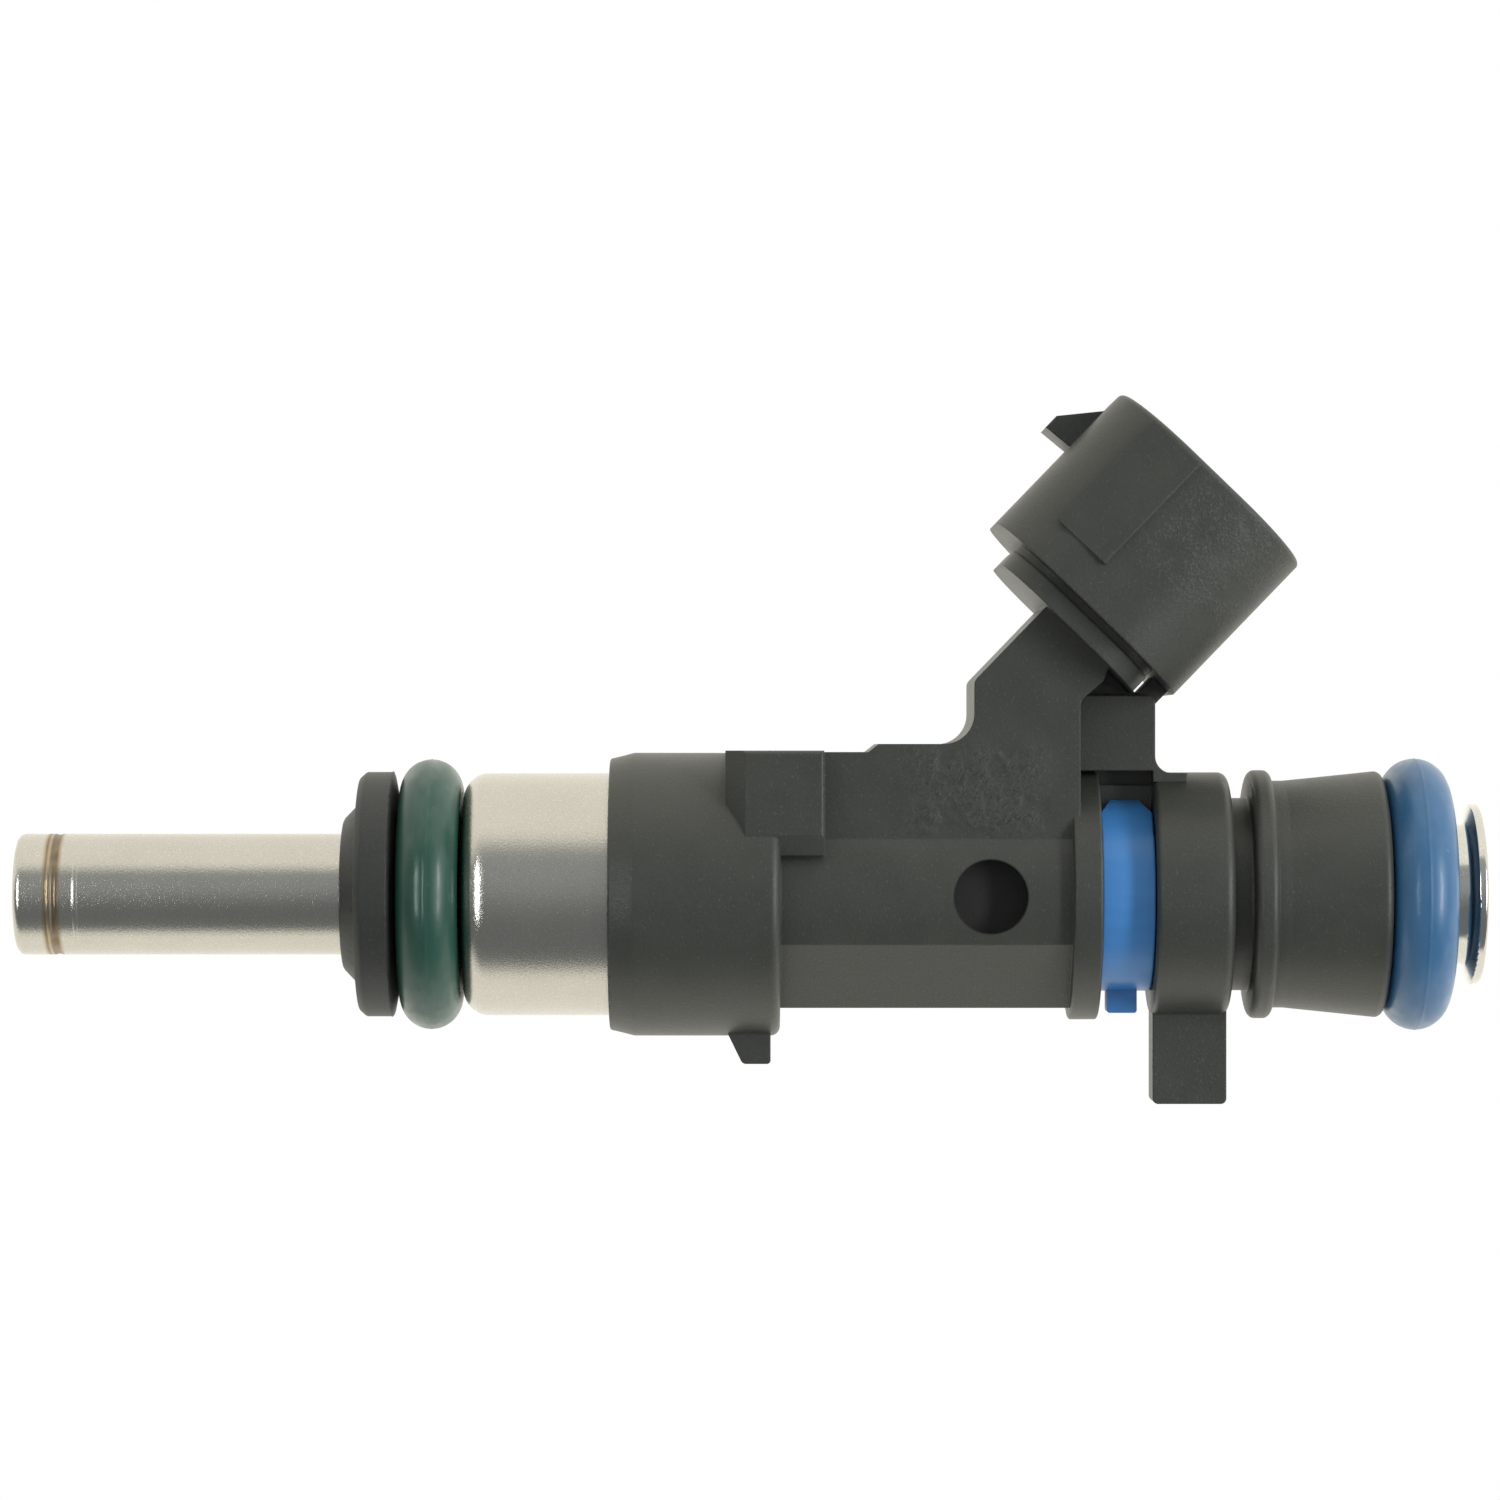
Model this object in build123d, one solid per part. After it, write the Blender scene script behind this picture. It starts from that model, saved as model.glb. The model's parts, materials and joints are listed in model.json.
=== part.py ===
from build123d import *
import os
from math import cos, radians, sin, sqrt

# Port fuel injector with a long nozzle, every piece its own solid, in millimetres.
#
# +Z runs up the injector's axis, from the nozzle tip to the fuel inlet. The origin is on that axis at
# the middle of the lower O-ring, where the injector seats in the manifold. The electrical connector
# leans out towards -X, and the injector is the same on both sides of the plane y = 0. Outlines in that
# plane are given as (height up the axis, reach towards the connector).

# ---------------------------------------------------------------- driving dimensions: lengths on the axis
NOZZLE_REACH = 22.2          # lower O-ring's middle down to the nozzle tip
WASHER_HEIGHT = 3.04         # support washer, with its hub
CAN_EXPOSED = 7.85           # steel can below the moulded collar
COLLAR_LENGTH = 9.1          # large moulded collar over the coil
BARREL_LENGTH = 15.47        # narrow moulded barrel between collar and flange
FLANGE_WIDTH = 1.53          # flange below the marker ring
MARKER_GROOVE_WIDTH = 2.9    # groove that holds the marker ring
KEY_COLLAR_WIDTH = 4.1       # collar that carries the orientation tab
CLIP_GROOVE_WIDTH = 1.1      # slot for the rail clip
RIDGE_WIDTH = 1.2            # ridge above the rail clip
SEAL_LAND_LENGTH = 6.0       # tapered land up to the upper O-ring
GLAND_SLACK = 1.1            # bare inlet tube beside the upper O-ring
RIM_HEIGHT = 0.6             # flared rim of the inlet tube
INLET_DEPTH = 6.0            # filter's top below the inlet rim
LAP = 2.0                    # tubes that slip over each other
SEAT_CLEARANCE = 0.05        # lower O-ring to the washer, and the upper one to the housing

# ---------------------------------------------------------------- driving dimensions: seals
LOWER_RING_SECTION = 3.3
UPPER_RING_SECTION = 3.5

# ---------------------------------------------------------------- driving dimensions: radii and walls
SLEEVE_BORE = 3.05
SLEEVE_WALL = 0.4
NOZZLE_STEP = 0.2            # nozzle tube stands out from its spigot in the sleeve
NOZZLE_WALL = 0.65
TUBE_LAP_WALL = 0.34         # inlet tube where it laps the sleeve
TUBE_WALL = 0.79
INLET_WALL = 0.49
RIM_FLARE = 1.08
CAN_NECK_WALL = 0.5
CAN_RADIUS = 6.51
CAN_WALL = 0.65
CAN_FLOOR_THICKNESS = 1.3
CAN_CORNER = 1.35
COLLAR_WALL = 1.09
COLLAR_LEAD = 0.32           # the collar's lip is smaller than the collar by this
COLLAR_LEAD_LENGTH = 1.3
BARREL_RADIUS = 6.03
KEEL_REACH = 2.53            # where the barrel's round side gives way to its flat facets
FLANGE_RADIUS = 6.73
KEY_COLLAR_RADIUS = 6.55
CLIP_GROOVE_WALL = 1.38
RIDGE_RADIUS = 6.67
LAND_RADIUS = 6.1
SEAL_END_RADIUS = 6.65
SEAL_END_CORNER = 0.4
WASHER_RADIUS = 6.57
WASHER_HUB_WALL = 1.4
MARKER_GROOVE_WALL = 0.77
MARKER_THICKNESS = 0.64
MARKER_CHAMFER = 0.66        # at the marker ring's ends
MARKER_FOOT_HALF = 0.9
MARKER_FOOT_REACH = 6.35

# ---------------------------------------------------------------- driving dimensions: web and connector
WEB_HALF = 5.2               # half thickness of the web that carries the connector
WEB_LOW_TOP = 7.64           # web's top beside the shoulder block
WEB_TOP = 8.07               # web's top below the neck
WEB_STEP = 4.65              # step between the two, above the barrel's foot
WEB_STEP_RUN = 0.55
WEB_FOOT = 1.2               # web runs this far down into the collar
NECK_FRONT = 11.4            # top of the neck's upright face
NECK_SETBACK = 5.22          # neck's upright face below the flange
NECK_FILLET = 1.6
NECK_SHOULDER = 2.9          # neck's back meets the connector's flange, from its middle
RIB_HALF = 2.6               # half thickness of the rib behind the neck
RIB_BOTTOM = 6.65
RIB_FOOT = 1.8               # rib's foot along the key collar
RIB_TOP = 10.65
NECK_OVERHANG = 0.4          # web's back above the flange's lower face
CORE_HALF = 1.5              # half thickness of the recessed core under the connector's flange
MERGE = 0.5                  # features of one moulding run this far into each other
KEY_HALF = 1.05              # half thickness of the key in the marker ring's gap
KEY_TOP = 5.87
KEY_WALL = 0.9               # thin wall between the key and the rib
BLOCK_LOW = 2.2              # shoulder block's lower face
BLOCK_INSET = 0.7            # shoulder block's sides inside the collar's radius
BLOCK_RISE = 0.12            # shoulder block's top above the collar
BLOCK_CHAMFER = 1.05
BLOCK_SETBACK = 2.9          # shoulder block's start below the barrel's foot
BLOCK_LENGTH = 5.2
CONNECTOR_TILT = 46.0        # connector's axis, in degrees from the injector's axis
CONNECTOR_RISE = 15.46       # connector's root above the injector's axis
CONNECTOR_SETBACK = 0.92     # connector's root above the flange's lower face
SHROUD_LENGTH = 9.3
SHROUD_DEPTH = 13.1          # across the connector, in the plane y = 0
SHROUD_WIDTH = 16.8          # across the connector, along Y
SHROUD_CORNER = 4.8
SHROUD_WALL = 1.3
PANEL_PROUD = 0.3            # raised panel on the shroud's side
PANEL_START = 1.8            # raised panel, from the shroud's root
PANEL_EDGE = 0.96            # raised panel, from the shroud's middle
PANEL_RUN = 3.4              # raised panel's width
PANEL_STOP = 0.3             # raised panel's end below the shroud's rim
RIM_FILLET = 0.3
SOCKET_FLOOR = 0.5           # socket floor above the shroud's root
BASE_WIDTH = 14.8            # flange under the shroud
BASE_DEPTH = 9.7
BASE_THICKNESS = 1.35
BASE_CORNER = 3.2
BASE_FOOT = 0.4              # step under the flange
SEAM_INSET = 0.25
LATCH_HALF = 2.4             # half width of the latch ramp
LATCH_PROUD = 1.65
LATCH_START = 5.3            # latch ramp, from the shroud's root
LATCH_FLAT = 0.84
LATCH_END = 8.1
TAB_HALF = 1.4               # half thickness of the orientation tab
TAB_REACH = 11.2
TAB_WIDTH = 3.95
LOWER_TAB_HALF = 1.7
LOWER_TAB_DROP = 1.44        # small tab below the collar
LOWER_TAB_LENGTH = 2.4
LOWER_TAB_SLOPE = 0.9
SIDE_HOLE_RADIUS = 1.95
SIDE_HOLE_SETBACK = 4.37     # hole's middle below the flange
SIDE_HOLE_WALL = 0.51        # moulding left between the hole's floor and the tube
TERMINAL_GAUGE = 0.64
TERMINAL_WIDTH = 1.5
TERMINAL_SPACING = 4.4
TERMINAL_LENGTH = 6.5        # blade that stands in the socket
TERMINAL_FOOT = 1.0          # width of the terminals below the connector

# ---------------------------------------------------------------- driving dimensions: valve and coil
SLIDE_CLEARANCE = 0.04       # armature and ball in their guides
NEEDLE_LIFT = 0.08
STOP_MARGIN = 0.02           # left between armature and pole core at full lift
ARMATURE_LENGTH = 6.4
ARMATURE_SETBACK = 0.15      # armature's foot above the can's floor
POLE_LENGTH = 9.6
SLEEVE_OVERRUN = 2.4         # sleeve above the pole core
SPRING_BORE = 1.35
SPRING_RADIUS = 1.0
SPRING_WIRE = 0.16
SPRING_TURNS = 8
SPRING_POCKET = 2.5          # pocket in the armature's top
SPRING_REACH = 3.4           # spring's end inside the pole core
ADJUSTER_LENGTH = 4.5
ADJUSTER_BORE = 0.8
NEEDLE_RADIUS = 1.0
NEEDLE_BORE = 0.6
BALL_RADIUS = 1.4
SEAT_HEIGHT = 3.4
SEAT_RECESS = 0.3            # spray plate's face above the tip
SEAT_HOLE = 0.5
SEAT_GAP = 0.01              # ball to cone, so that the faces only just clear
SEAT_THROAT = 0.5            # straight hole under the cone, above the spray plate
PLATE_THICKNESS = 0.2
SPRAY_HOLE = 0.14
SPRAY_CIRCLE = 0.3
WELD_RISE = 2.2              # seat's weld above the tip
WELD_DEPTH = 0.05
SPOOL_CLEARANCE = 0.02
BOBBIN_WALL = 0.55
BOBBIN_FLANGE = 0.7
COIL_SETBACK = 0.41          # winding inside the can's wall
COIL_TURNS = 24
FLUX_WASHER_THICKNESS = 1.4
TOWER_MARGIN = 0.5           # bobbin's tower beside the terminals
FILTER_LENGTH = 12.0
FILTER_WALL = 0.5            # brass collar round the basket
FILTER_RIB_DEPTH = 0.4
FILTER_RIB_WIDTH = 0.7
FILTER_CLOTH = 0.12
FILTER_RIBS = 4
FILTER_COLLAR_LENGTH = 1.8

# ---------------------------------------------------------------- radii worked out from them
SLEEVE_RADIUS = SLEEVE_BORE + SLEEVE_WALL
NOZZLE_RADIUS = SLEEVE_BORE + NOZZLE_STEP
NOZZLE_BORE = NOZZLE_RADIUS - NOZZLE_WALL
TUBE_RADIUS = SLEEVE_RADIUS + TUBE_LAP_WALL
TUBE_BORE = TUBE_RADIUS - TUBE_WALL
INLET_BORE = TUBE_RADIUS - INLET_WALL
RIM_RADIUS = TUBE_RADIUS + RIM_FLARE
CAN_NECK_RADIUS = SLEEVE_RADIUS + CAN_NECK_WALL
CAN_BORE = CAN_RADIUS - CAN_WALL
COLLAR_RADIUS = CAN_RADIUS + COLLAR_WALL
CLIP_GROOVE_RADIUS = TUBE_RADIUS + CLIP_GROOVE_WALL
WASHER_HUB_RADIUS = SLEEVE_RADIUS + WASHER_HUB_WALL
MARKER_BORE = TUBE_RADIUS + MARKER_GROOVE_WALL
MARKER_RADIUS = MARKER_BORE + MARKER_THICKNESS
COIL_RADIUS = CAN_BORE - COIL_SETBACK
SPOOL_BORE = SLEEVE_RADIUS + SPOOL_CLEARANCE
FILTER_RADIUS = TUBE_BORE - FILTER_WALL
FILTER_MESH_RADIUS = FILTER_RADIUS - FILTER_RIB_DEPTH

# ---------------------------------------------------------------- heights worked out from them
TIP_Z = -NOZZLE_REACH
NECK_BOTTOM = -LOWER_RING_SECTION / 2 - SEAT_CLEARANCE
WASHER_Z = NECK_BOTTOM - WASHER_HEIGHT
CAN_SHOULDER = LOWER_RING_SECTION / 2 + 2 * SEAT_CLEARANCE
COLLAR_Z = CAN_SHOULDER + CAN_EXPOSED
BARREL_Z = COLLAR_Z + COLLAR_LENGTH
FLANGE_Z = BARREL_Z + BARREL_LENGTH
MARKER_Z = FLANGE_Z + FLANGE_WIDTH
KEY_COLLAR_Z = MARKER_Z + MARKER_GROOVE_WIDTH
CLIP_GROOVE_Z = KEY_COLLAR_Z + KEY_COLLAR_WIDTH
RIDGE_Z = CLIP_GROOVE_Z + CLIP_GROOVE_WIDTH
LAND_Z = RIDGE_Z + RIDGE_WIDTH
HOUSING_TOP = LAND_Z + SEAL_LAND_LENGTH
RIM_Z = HOUSING_TOP + UPPER_RING_SECTION + GLAND_SLACK
INLET_TOP = RIM_Z + RIM_HEIGHT
FILTER_TOP = INLET_TOP - INLET_DEPTH
CAN_FLOOR = CAN_SHOULDER + CAN_FLOOR_THICKNESS
CAN_TOP = BARREL_Z - 1.5
SPOOL_BOTTOM = CAN_FLOOR + 0.3
SPOOL_TOP = CAN_TOP - FLUX_WASHER_THICKNESS - 0.05
ARMATURE_BOTTOM = CAN_FLOOR + ARMATURE_SETBACK
ARMATURE_TOP = ARMATURE_BOTTOM + ARMATURE_LENGTH
POLE_BOTTOM = ARMATURE_TOP + NEEDLE_LIFT + STOP_MARGIN
POLE_TOP = POLE_BOTTOM + POLE_LENGTH
SLEEVE_TOP = POLE_TOP + SLEEVE_OVERRUN
SPRING_SEAT = ARMATURE_TOP - SPRING_POCKET
NEEDLE_TOP = SPRING_SEAT - 0.8
ADJUSTER_BOTTOM = POLE_BOTTOM + SPRING_REACH
SEAT_Z = TIP_Z + SEAT_RECESS + PLATE_THICKNESS
SEAT_APEX = SEAT_Z + SEAT_THROAT - SEAT_HOLE
BALL_Z = SEAT_APEX + (BALL_RADIUS + SEAT_GAP) * sqrt(2)
TERMINAL_RUN = (SLEEVE_RADIUS + CAN_BORE) / 2 + 0.4
TOWER_HALF = TERMINAL_SPACING / 2 + TERMINAL_GAUGE / 2 + TOWER_MARGIN
TOWER_LOW = TERMINAL_RUN - 0.85
TOWER_TOP = TERMINAL_RUN + 0.85

SIDE = Plane(origin=(0, 0, 0), x_dir=(0, 0, 1), z_dir=(0, -1, 0))
LEAN = radians(CONNECTOR_TILT)
ROOT_Z = FLANGE_Z + CONNECTOR_SETBACK
SOCKET = Plane(
    origin=(-CONNECTOR_RISE, 0, ROOT_Z),
    x_dir=(0, 1, 0),
    z_dir=(-sin(LEAN), 0, cos(LEAN)),
)


# ---------------------------------------------------------------- helpers
def outline(*points):
    """Flat face from (x, y) corners; a third value rounds that corner."""
    face = make_face(Polyline(*[point[:2] for point in points], close=True))
    for point in points:
        if len(point) == 3:
            corner = face.vertices().sort_by_distance((point[0], point[1], 0))[0]
            face = fillet(corner, point[2])
    return face


def turned(*points):
    """Solid of revolution about Z from (radius, height) corners."""
    return revolve(Plane.XZ * outline(*points), axis=Axis.Z)


def ring(inner, outer, low, high):
    """Plain ring about Z."""
    return turned((inner, low), (outer, low), (outer, high), (inner, high))


def rod(radius, low, high):
    """Plain cylinder on Z."""
    return turned((0, low), (radius, low), (radius, high), (0, high))


def plate(half, *points):
    """Plate on the plane y = 0, of one half thickness each way, from (height, reach) corners."""
    return extrude(SIDE * outline(*points), amount=half, both=True)


def beside(along, across):
    """(height, reach) of a point in the connector's own axes, from its root."""
    height = ROOT_Z + along * cos(LEAN) - across * sin(LEAN)
    reach = CONNECTOR_RISE + along * sin(LEAN) + across * cos(LEAN)
    return height, reach


def rounded_prism(width, depth, corner, low, high):
    """Rounded rectangle that runs along the connector's axis from low to high."""
    section = SOCKET.offset(low) * RectangleRounded(width, depth, corner)
    return extrude(section, amount=high - low)


def o_ring(outer, section, height):
    """O-ring about Z."""
    section_face = Plane.XZ * Pos(outer - section / 2, height) * Circle(section / 2)
    return revolve(section_face, axis=Axis.Z)


# ---------------------------------------------------------------- steel tubes and can
def nozzle_extension():
    """Long nozzle tube, with the shallow groove of the seat's weld near its tip."""
    spigot_top = NECK_BOTTOM + 2.2
    tube = turned(
        (NOZZLE_BORE, TIP_Z),
        (NOZZLE_RADIUS, TIP_Z, 0.4),
        (NOZZLE_RADIUS, WASHER_Z),
        (SLEEVE_BORE, WASHER_Z),
        (SLEEVE_BORE, spigot_top),
        (NOZZLE_BORE, spigot_top),
    )
    cutter = 0.75
    groove = o_ring(NOZZLE_RADIUS - WELD_DEPTH + cutter, cutter, TIP_Z + WELD_RISE)
    return tube - groove


def valve_sleeve():
    """Thin sleeve round the armature and the pole core."""
    return ring(SLEEVE_BORE, SLEEVE_RADIUS, WASHER_Z, SLEEVE_TOP)


def inlet_tube():
    """Fuel tube from the sleeve to the flared inlet rim."""
    lap_bottom = SLEEVE_TOP - LAP
    bore_end = RIM_Z - 0.4
    return turned(
        (SLEEVE_RADIUS, lap_bottom),
        (TUBE_RADIUS, lap_bottom),
        (TUBE_RADIUS, RIM_Z - 0.15, 0.25),
        (RIM_RADIUS, RIM_Z + 0.1, 0.12),
        (RIM_RADIUS, INLET_TOP, 0.2),
        (RIM_RADIUS - 0.75, INLET_TOP, 0.3),
        (INLET_BORE, bore_end, 0.8),
        (INLET_BORE, FILTER_TOP),
        (TUBE_BORE, FILTER_TOP),
        (TUBE_BORE, SLEEVE_TOP),
        (SLEEVE_RADIUS, SLEEVE_TOP),
    )


def solenoid_can():
    """Drawn steel can round the coil, with the neck that carries the lower O-ring."""
    can = turned(
        (SLEEVE_RADIUS, NECK_BOTTOM),
        (CAN_NECK_RADIUS, NECK_BOTTOM),
        (CAN_NECK_RADIUS, CAN_SHOULDER, 0.3),
        (CAN_RADIUS, CAN_SHOULDER, CAN_CORNER),
        (CAN_RADIUS, CAN_TOP),
        (CAN_BORE, CAN_TOP),
        (CAN_BORE, CAN_FLOOR, 0.5),
        (SLEEVE_RADIUS, CAN_FLOOR),
    )
    return can - terminal_gap()


def flux_washer():
    """Steel cover of the can, cut open where the terminals pass."""
    disc = ring(SLEEVE_RADIUS, CAN_BORE, CAN_TOP - FLUX_WASHER_THICKNESS, CAN_TOP)
    return disc - terminal_gap()


def terminal_gap():
    """Opening in the can's edge and the flux washer for the bobbin's tower."""
    low = SPOOL_TOP - BOBBIN_FLANGE
    top = CAN_RADIUS + 1
    return plate(TOWER_HALF + 0.1, (low, TOWER_LOW), (CAN_TOP, TOWER_LOW), (CAN_TOP, top), (low, top))


def bobbin_tower():
    """Block on the bobbin that holds the feet of the terminals."""
    low = SPOOL_TOP - BOBBIN_FLANGE
    high = CAN_TOP + 0.8
    return plate(TOWER_HALF, (low, TOWER_LOW), (high, TOWER_LOW), (high, TOWER_TOP), (low, TOWER_TOP))


# ---------------------------------------------------------------- coil and terminals
def coil_bobbin():
    """Nylon spool, with the tower that carries the two terminals out of the can."""
    inner = SPOOL_BORE
    tube = inner + BOBBIN_WALL
    edge = CAN_BORE - 0.05
    bottom = SPOOL_BOTTOM
    top = SPOOL_TOP
    spool = turned(
        (inner, bottom),
        (edge - 0.2, bottom),
        (edge - 0.2, bottom + BOBBIN_FLANGE),
        (tube, bottom + BOBBIN_FLANGE),
        (tube, top - BOBBIN_FLANGE),
        (edge, top - BOBBIN_FLANGE),
        (edge, top),
        (inner, top),
    )
    return spool + bobbin_tower() - terminal(1) - terminal(-1)


def coil_winding():
    """Copper winding, its outer layer shaped turn by turn."""
    inner = SPOOL_BORE + BOBBIN_WALL
    low = SPOOL_BOTTOM + BOBBIN_FLANGE
    high = SPOOL_TOP - BOBBIN_FLANGE
    pitch = (high - low) / COIL_TURNS
    corners = [(inner, low)]
    for turn in range(COIL_TURNS):
        start = low + turn * pitch
        corners.append((COIL_RADIUS - 0.12, start))
        corners.append((COIL_RADIUS, start + pitch * 0.3))
        corners.append((COIL_RADIUS, start + pitch * 0.7))
    corners.append((COIL_RADIUS - 0.12, high))
    corners.append((inner, high))
    return turned(*corners)


def terminal(side):
    """Flat terminal from the bobbin up through the neck to the blade in the socket."""
    bend_along = -6.0
    bend = beside(bend_along, 0)
    half = TERMINAL_WIDTH / 2
    foot = TERMINAL_FOOT / 2
    tip = SOCKET_FLOOR + TERMINAL_LENGTH
    foot_z = CAN_TOP - FLUX_WASHER_THICKNESS - 0.6
    blade = outline(
        beside(bend_along, -half),
        beside(tip - 0.9, -half),
        beside(tip, -half + 0.45),
        beside(tip, half - 0.45),
        beside(tip - 0.9, half),
        beside(bend_along, half),
    )
    riser = outline(
        (bend[0] - half, TERMINAL_RUN - foot),
        (bend[0] + half, TERMINAL_RUN - foot),
        (bend[0] + half, bend[1] + 0.3),
        (bend[0] - half, bend[1] + 0.3),
    )
    run = outline(
        (foot_z, TERMINAL_RUN - foot),
        (bend[0], TERMINAL_RUN - foot),
        (bend[0], TERMINAL_RUN + foot),
        (foot_z, TERMINAL_RUN + foot),
    )
    strip = extrude(SIDE * (blade + riser + run), amount=TERMINAL_GAUGE / 2, both=True)
    return Pos(0, side * TERMINAL_SPACING / 2, 0) * strip


# ---------------------------------------------------------------- valve
def pole_core():
    """Fixed core, pressed in the sleeve above the armature."""
    return turned(
        (SPRING_BORE, POLE_BOTTOM),
        (SLEEVE_BORE, POLE_BOTTOM),
        (SLEEVE_BORE, POLE_TOP, 0.4),
        (SPRING_BORE, POLE_TOP),
    )


def adjusting_tube():
    """Slit tube pressed in the pole core to set the spring's force."""
    tube = ring(ADJUSTER_BORE, SPRING_BORE, ADJUSTER_BOTTOM, ADJUSTER_BOTTOM + ADJUSTER_LENGTH)
    slit_reach = SPRING_BORE + 0.5
    slit = Pos(slit_reach / 2, 0, ADJUSTER_BOTTOM + ADJUSTER_LENGTH / 2) * Box(
        slit_reach, 0.3, ADJUSTER_LENGTH + 1
    )
    return tube - slit


def return_spring():
    """Closing spring between the armature and the adjusting tube."""
    low = SPRING_SEAT + SPRING_WIRE
    height = ADJUSTER_BOTTOM - SPRING_WIRE - low
    path = Pos(0, 0, low) * Helix(pitch=height / SPRING_TURNS, height=height, radius=SPRING_RADIUS)
    section = Plane(origin=path @ 0, z_dir=path % 0) * Circle(SPRING_WIRE)
    return sweep(section, path=path)


def armature():
    """Moving armature, with the spring's pocket, fuel passages and the needle's socket."""
    body = turned(
        (NEEDLE_RADIUS, ARMATURE_BOTTOM),
        (SLEEVE_BORE - SLIDE_CLEARANCE, ARMATURE_BOTTOM, 0.3),
        (SLEEVE_BORE - SLIDE_CLEARANCE, ARMATURE_TOP, 0.15),
        (SPRING_BORE, ARMATURE_TOP),
        (SPRING_BORE, SPRING_SEAT),
        (NEEDLE_BORE, SPRING_SEAT),
        (NEEDLE_BORE, NEEDLE_TOP),
        (NEEDLE_RADIUS, NEEDLE_TOP),
    )
    middle = ARMATURE_BOTTOM + ARMATURE_LENGTH / 2
    passage_circle = (SPRING_BORE + SLEEVE_BORE) / 2
    for spot in PolarLocations(passage_circle, 4):
        body -= spot * Pos(0, 0, middle) * Cylinder(0.4, ARMATURE_LENGTH + 1)
    return body


def needle_tube():
    """Hollow needle from the armature down to the valve ball, with its cross holes."""
    tube = ring(NEEDLE_BORE, NEEDLE_RADIUS, BALL_Z + 0.5, NEEDLE_TOP)
    tube -= Pos(0, 0, BALL_Z) * Sphere(BALL_RADIUS)
    for height in (BALL_Z + 2.6, ARMATURE_BOTTOM - 1.6):
        for turn in (0, 90):
            tube -= Pos(0, 0, height) * Rot(0, 90, turn) * Cylinder(0.35, 4 * NEEDLE_RADIUS)
    return tube


def valve_ball():
    """Valve ball, with five flats that let fuel past it to the seat."""
    ball = Pos(0, 0, BALL_Z) * Sphere(BALL_RADIUS)
    flat_reach = BALL_RADIUS * 0.88
    for spot in PolarLocations(flat_reach + 0.5, 5):
        ball -= spot * Pos(0, 0, BALL_Z + 0.25) * Box(1, 3, 1.3)
    return ball


def valve_seat():
    """Seat body, pressed in the tip, with the ball's guide and its conical seat."""
    guide = BALL_RADIUS + SLIDE_CLEARANCE
    return turned(
        (SEAT_HOLE, SEAT_Z),
        (NOZZLE_BORE, SEAT_Z),
        (NOZZLE_BORE, SEAT_Z + SEAT_HEIGHT, 0.3),
        (guide, SEAT_Z + SEAT_HEIGHT, 0.3),
        (guide, SEAT_APEX + guide),
        (SEAT_HOLE, SEAT_APEX + SEAT_HOLE),
    )


def spray_plate():
    """Thin plate under the seat, with four metering holes."""
    low = TIP_Z + SEAT_RECESS
    disc = rod(NOZZLE_BORE, low, low + PLATE_THICKNESS)
    for spot in PolarLocations(SPRAY_CIRCLE, 4, start_angle=45):
        disc -= spot * Pos(0, 0, low) * Cylinder(SPRAY_HOLE, 1)
    return disc


# ---------------------------------------------------------------- fuel filter
def filter_collar():
    """Brass collar that holds the filter in the inlet."""
    return turned(
        (FILTER_RADIUS, FILTER_TOP - FILTER_COLLAR_LENGTH),
        (TUBE_BORE, FILTER_TOP - FILTER_COLLAR_LENGTH),
        (TUBE_BORE, FILTER_TOP, 0.15),
        (FILTER_RADIUS, FILTER_TOP, 0.15),
    )


def filter_frame():
    """Moulded basket: a head ring, ribs and a closed foot."""
    top = FILTER_TOP - 0.3
    bottom = FILTER_TOP - FILTER_LENGTH
    head = turned(
        (FILTER_MESH_RADIUS, top - 2.0),
        (FILTER_RADIUS, top - 2.0),
        (FILTER_RADIUS, top),
        (FILTER_MESH_RADIUS, top),
    )
    foot = turned(
        (0, bottom),
        (FILTER_RADIUS, bottom, 0.6),
        (FILTER_RADIUS, bottom + 1.4),
        (0, bottom + 1.4),
    )
    basket = head + foot
    rib_length = top - bottom - 2.0
    rib = Box(FILTER_RIB_DEPTH, FILTER_RIB_WIDTH, rib_length)
    for spot in PolarLocations(FILTER_RADIUS - FILTER_RIB_DEPTH / 2, FILTER_RIBS):
        basket += spot * Pos(0, 0, bottom + 1.0 + rib_length / 2) * rib
    return basket & rod(FILTER_RADIUS, bottom, top)


def filter_mesh():
    """Fine mesh sleeve inside the basket."""
    bottom = FILTER_TOP - FILTER_LENGTH + 1.4
    return ring(FILTER_MESH_RADIUS - FILTER_CLOTH, FILTER_MESH_RADIUS, bottom, FILTER_TOP - 0.3)


# ---------------------------------------------------------------- seals, washer and marker ring
def lower_o_ring():
    """Manifold O-ring on the can's neck."""
    return o_ring(CAN_NECK_RADIUS + LOWER_RING_SECTION, LOWER_RING_SECTION, 0)


def upper_o_ring():
    """Fuel rail O-ring on the inlet tube."""
    middle = HOUSING_TOP + UPPER_RING_SECTION / 2 + SEAT_CLEARANCE
    return o_ring(TUBE_RADIUS + UPPER_RING_SECTION, UPPER_RING_SECTION, middle)


def support_washer():
    """Moulded washer that holds the lower O-ring up, with a tapered hub."""
    top = NECK_BOTTOM
    return turned(
        (SLEEVE_RADIUS, WASHER_Z),
        (SLEEVE_RADIUS + 0.65, WASHER_Z),
        (WASHER_HUB_RADIUS, WASHER_Z + 0.84),
        (WASHER_RADIUS - 0.35, WASHER_Z + 0.91),
        (WASHER_RADIUS, WASHER_Z + 1.3),
        (WASHER_RADIUS, top - 0.38),
        (WASHER_HUB_RADIUS, top),
        (SLEEVE_RADIUS, top),
    )


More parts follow.
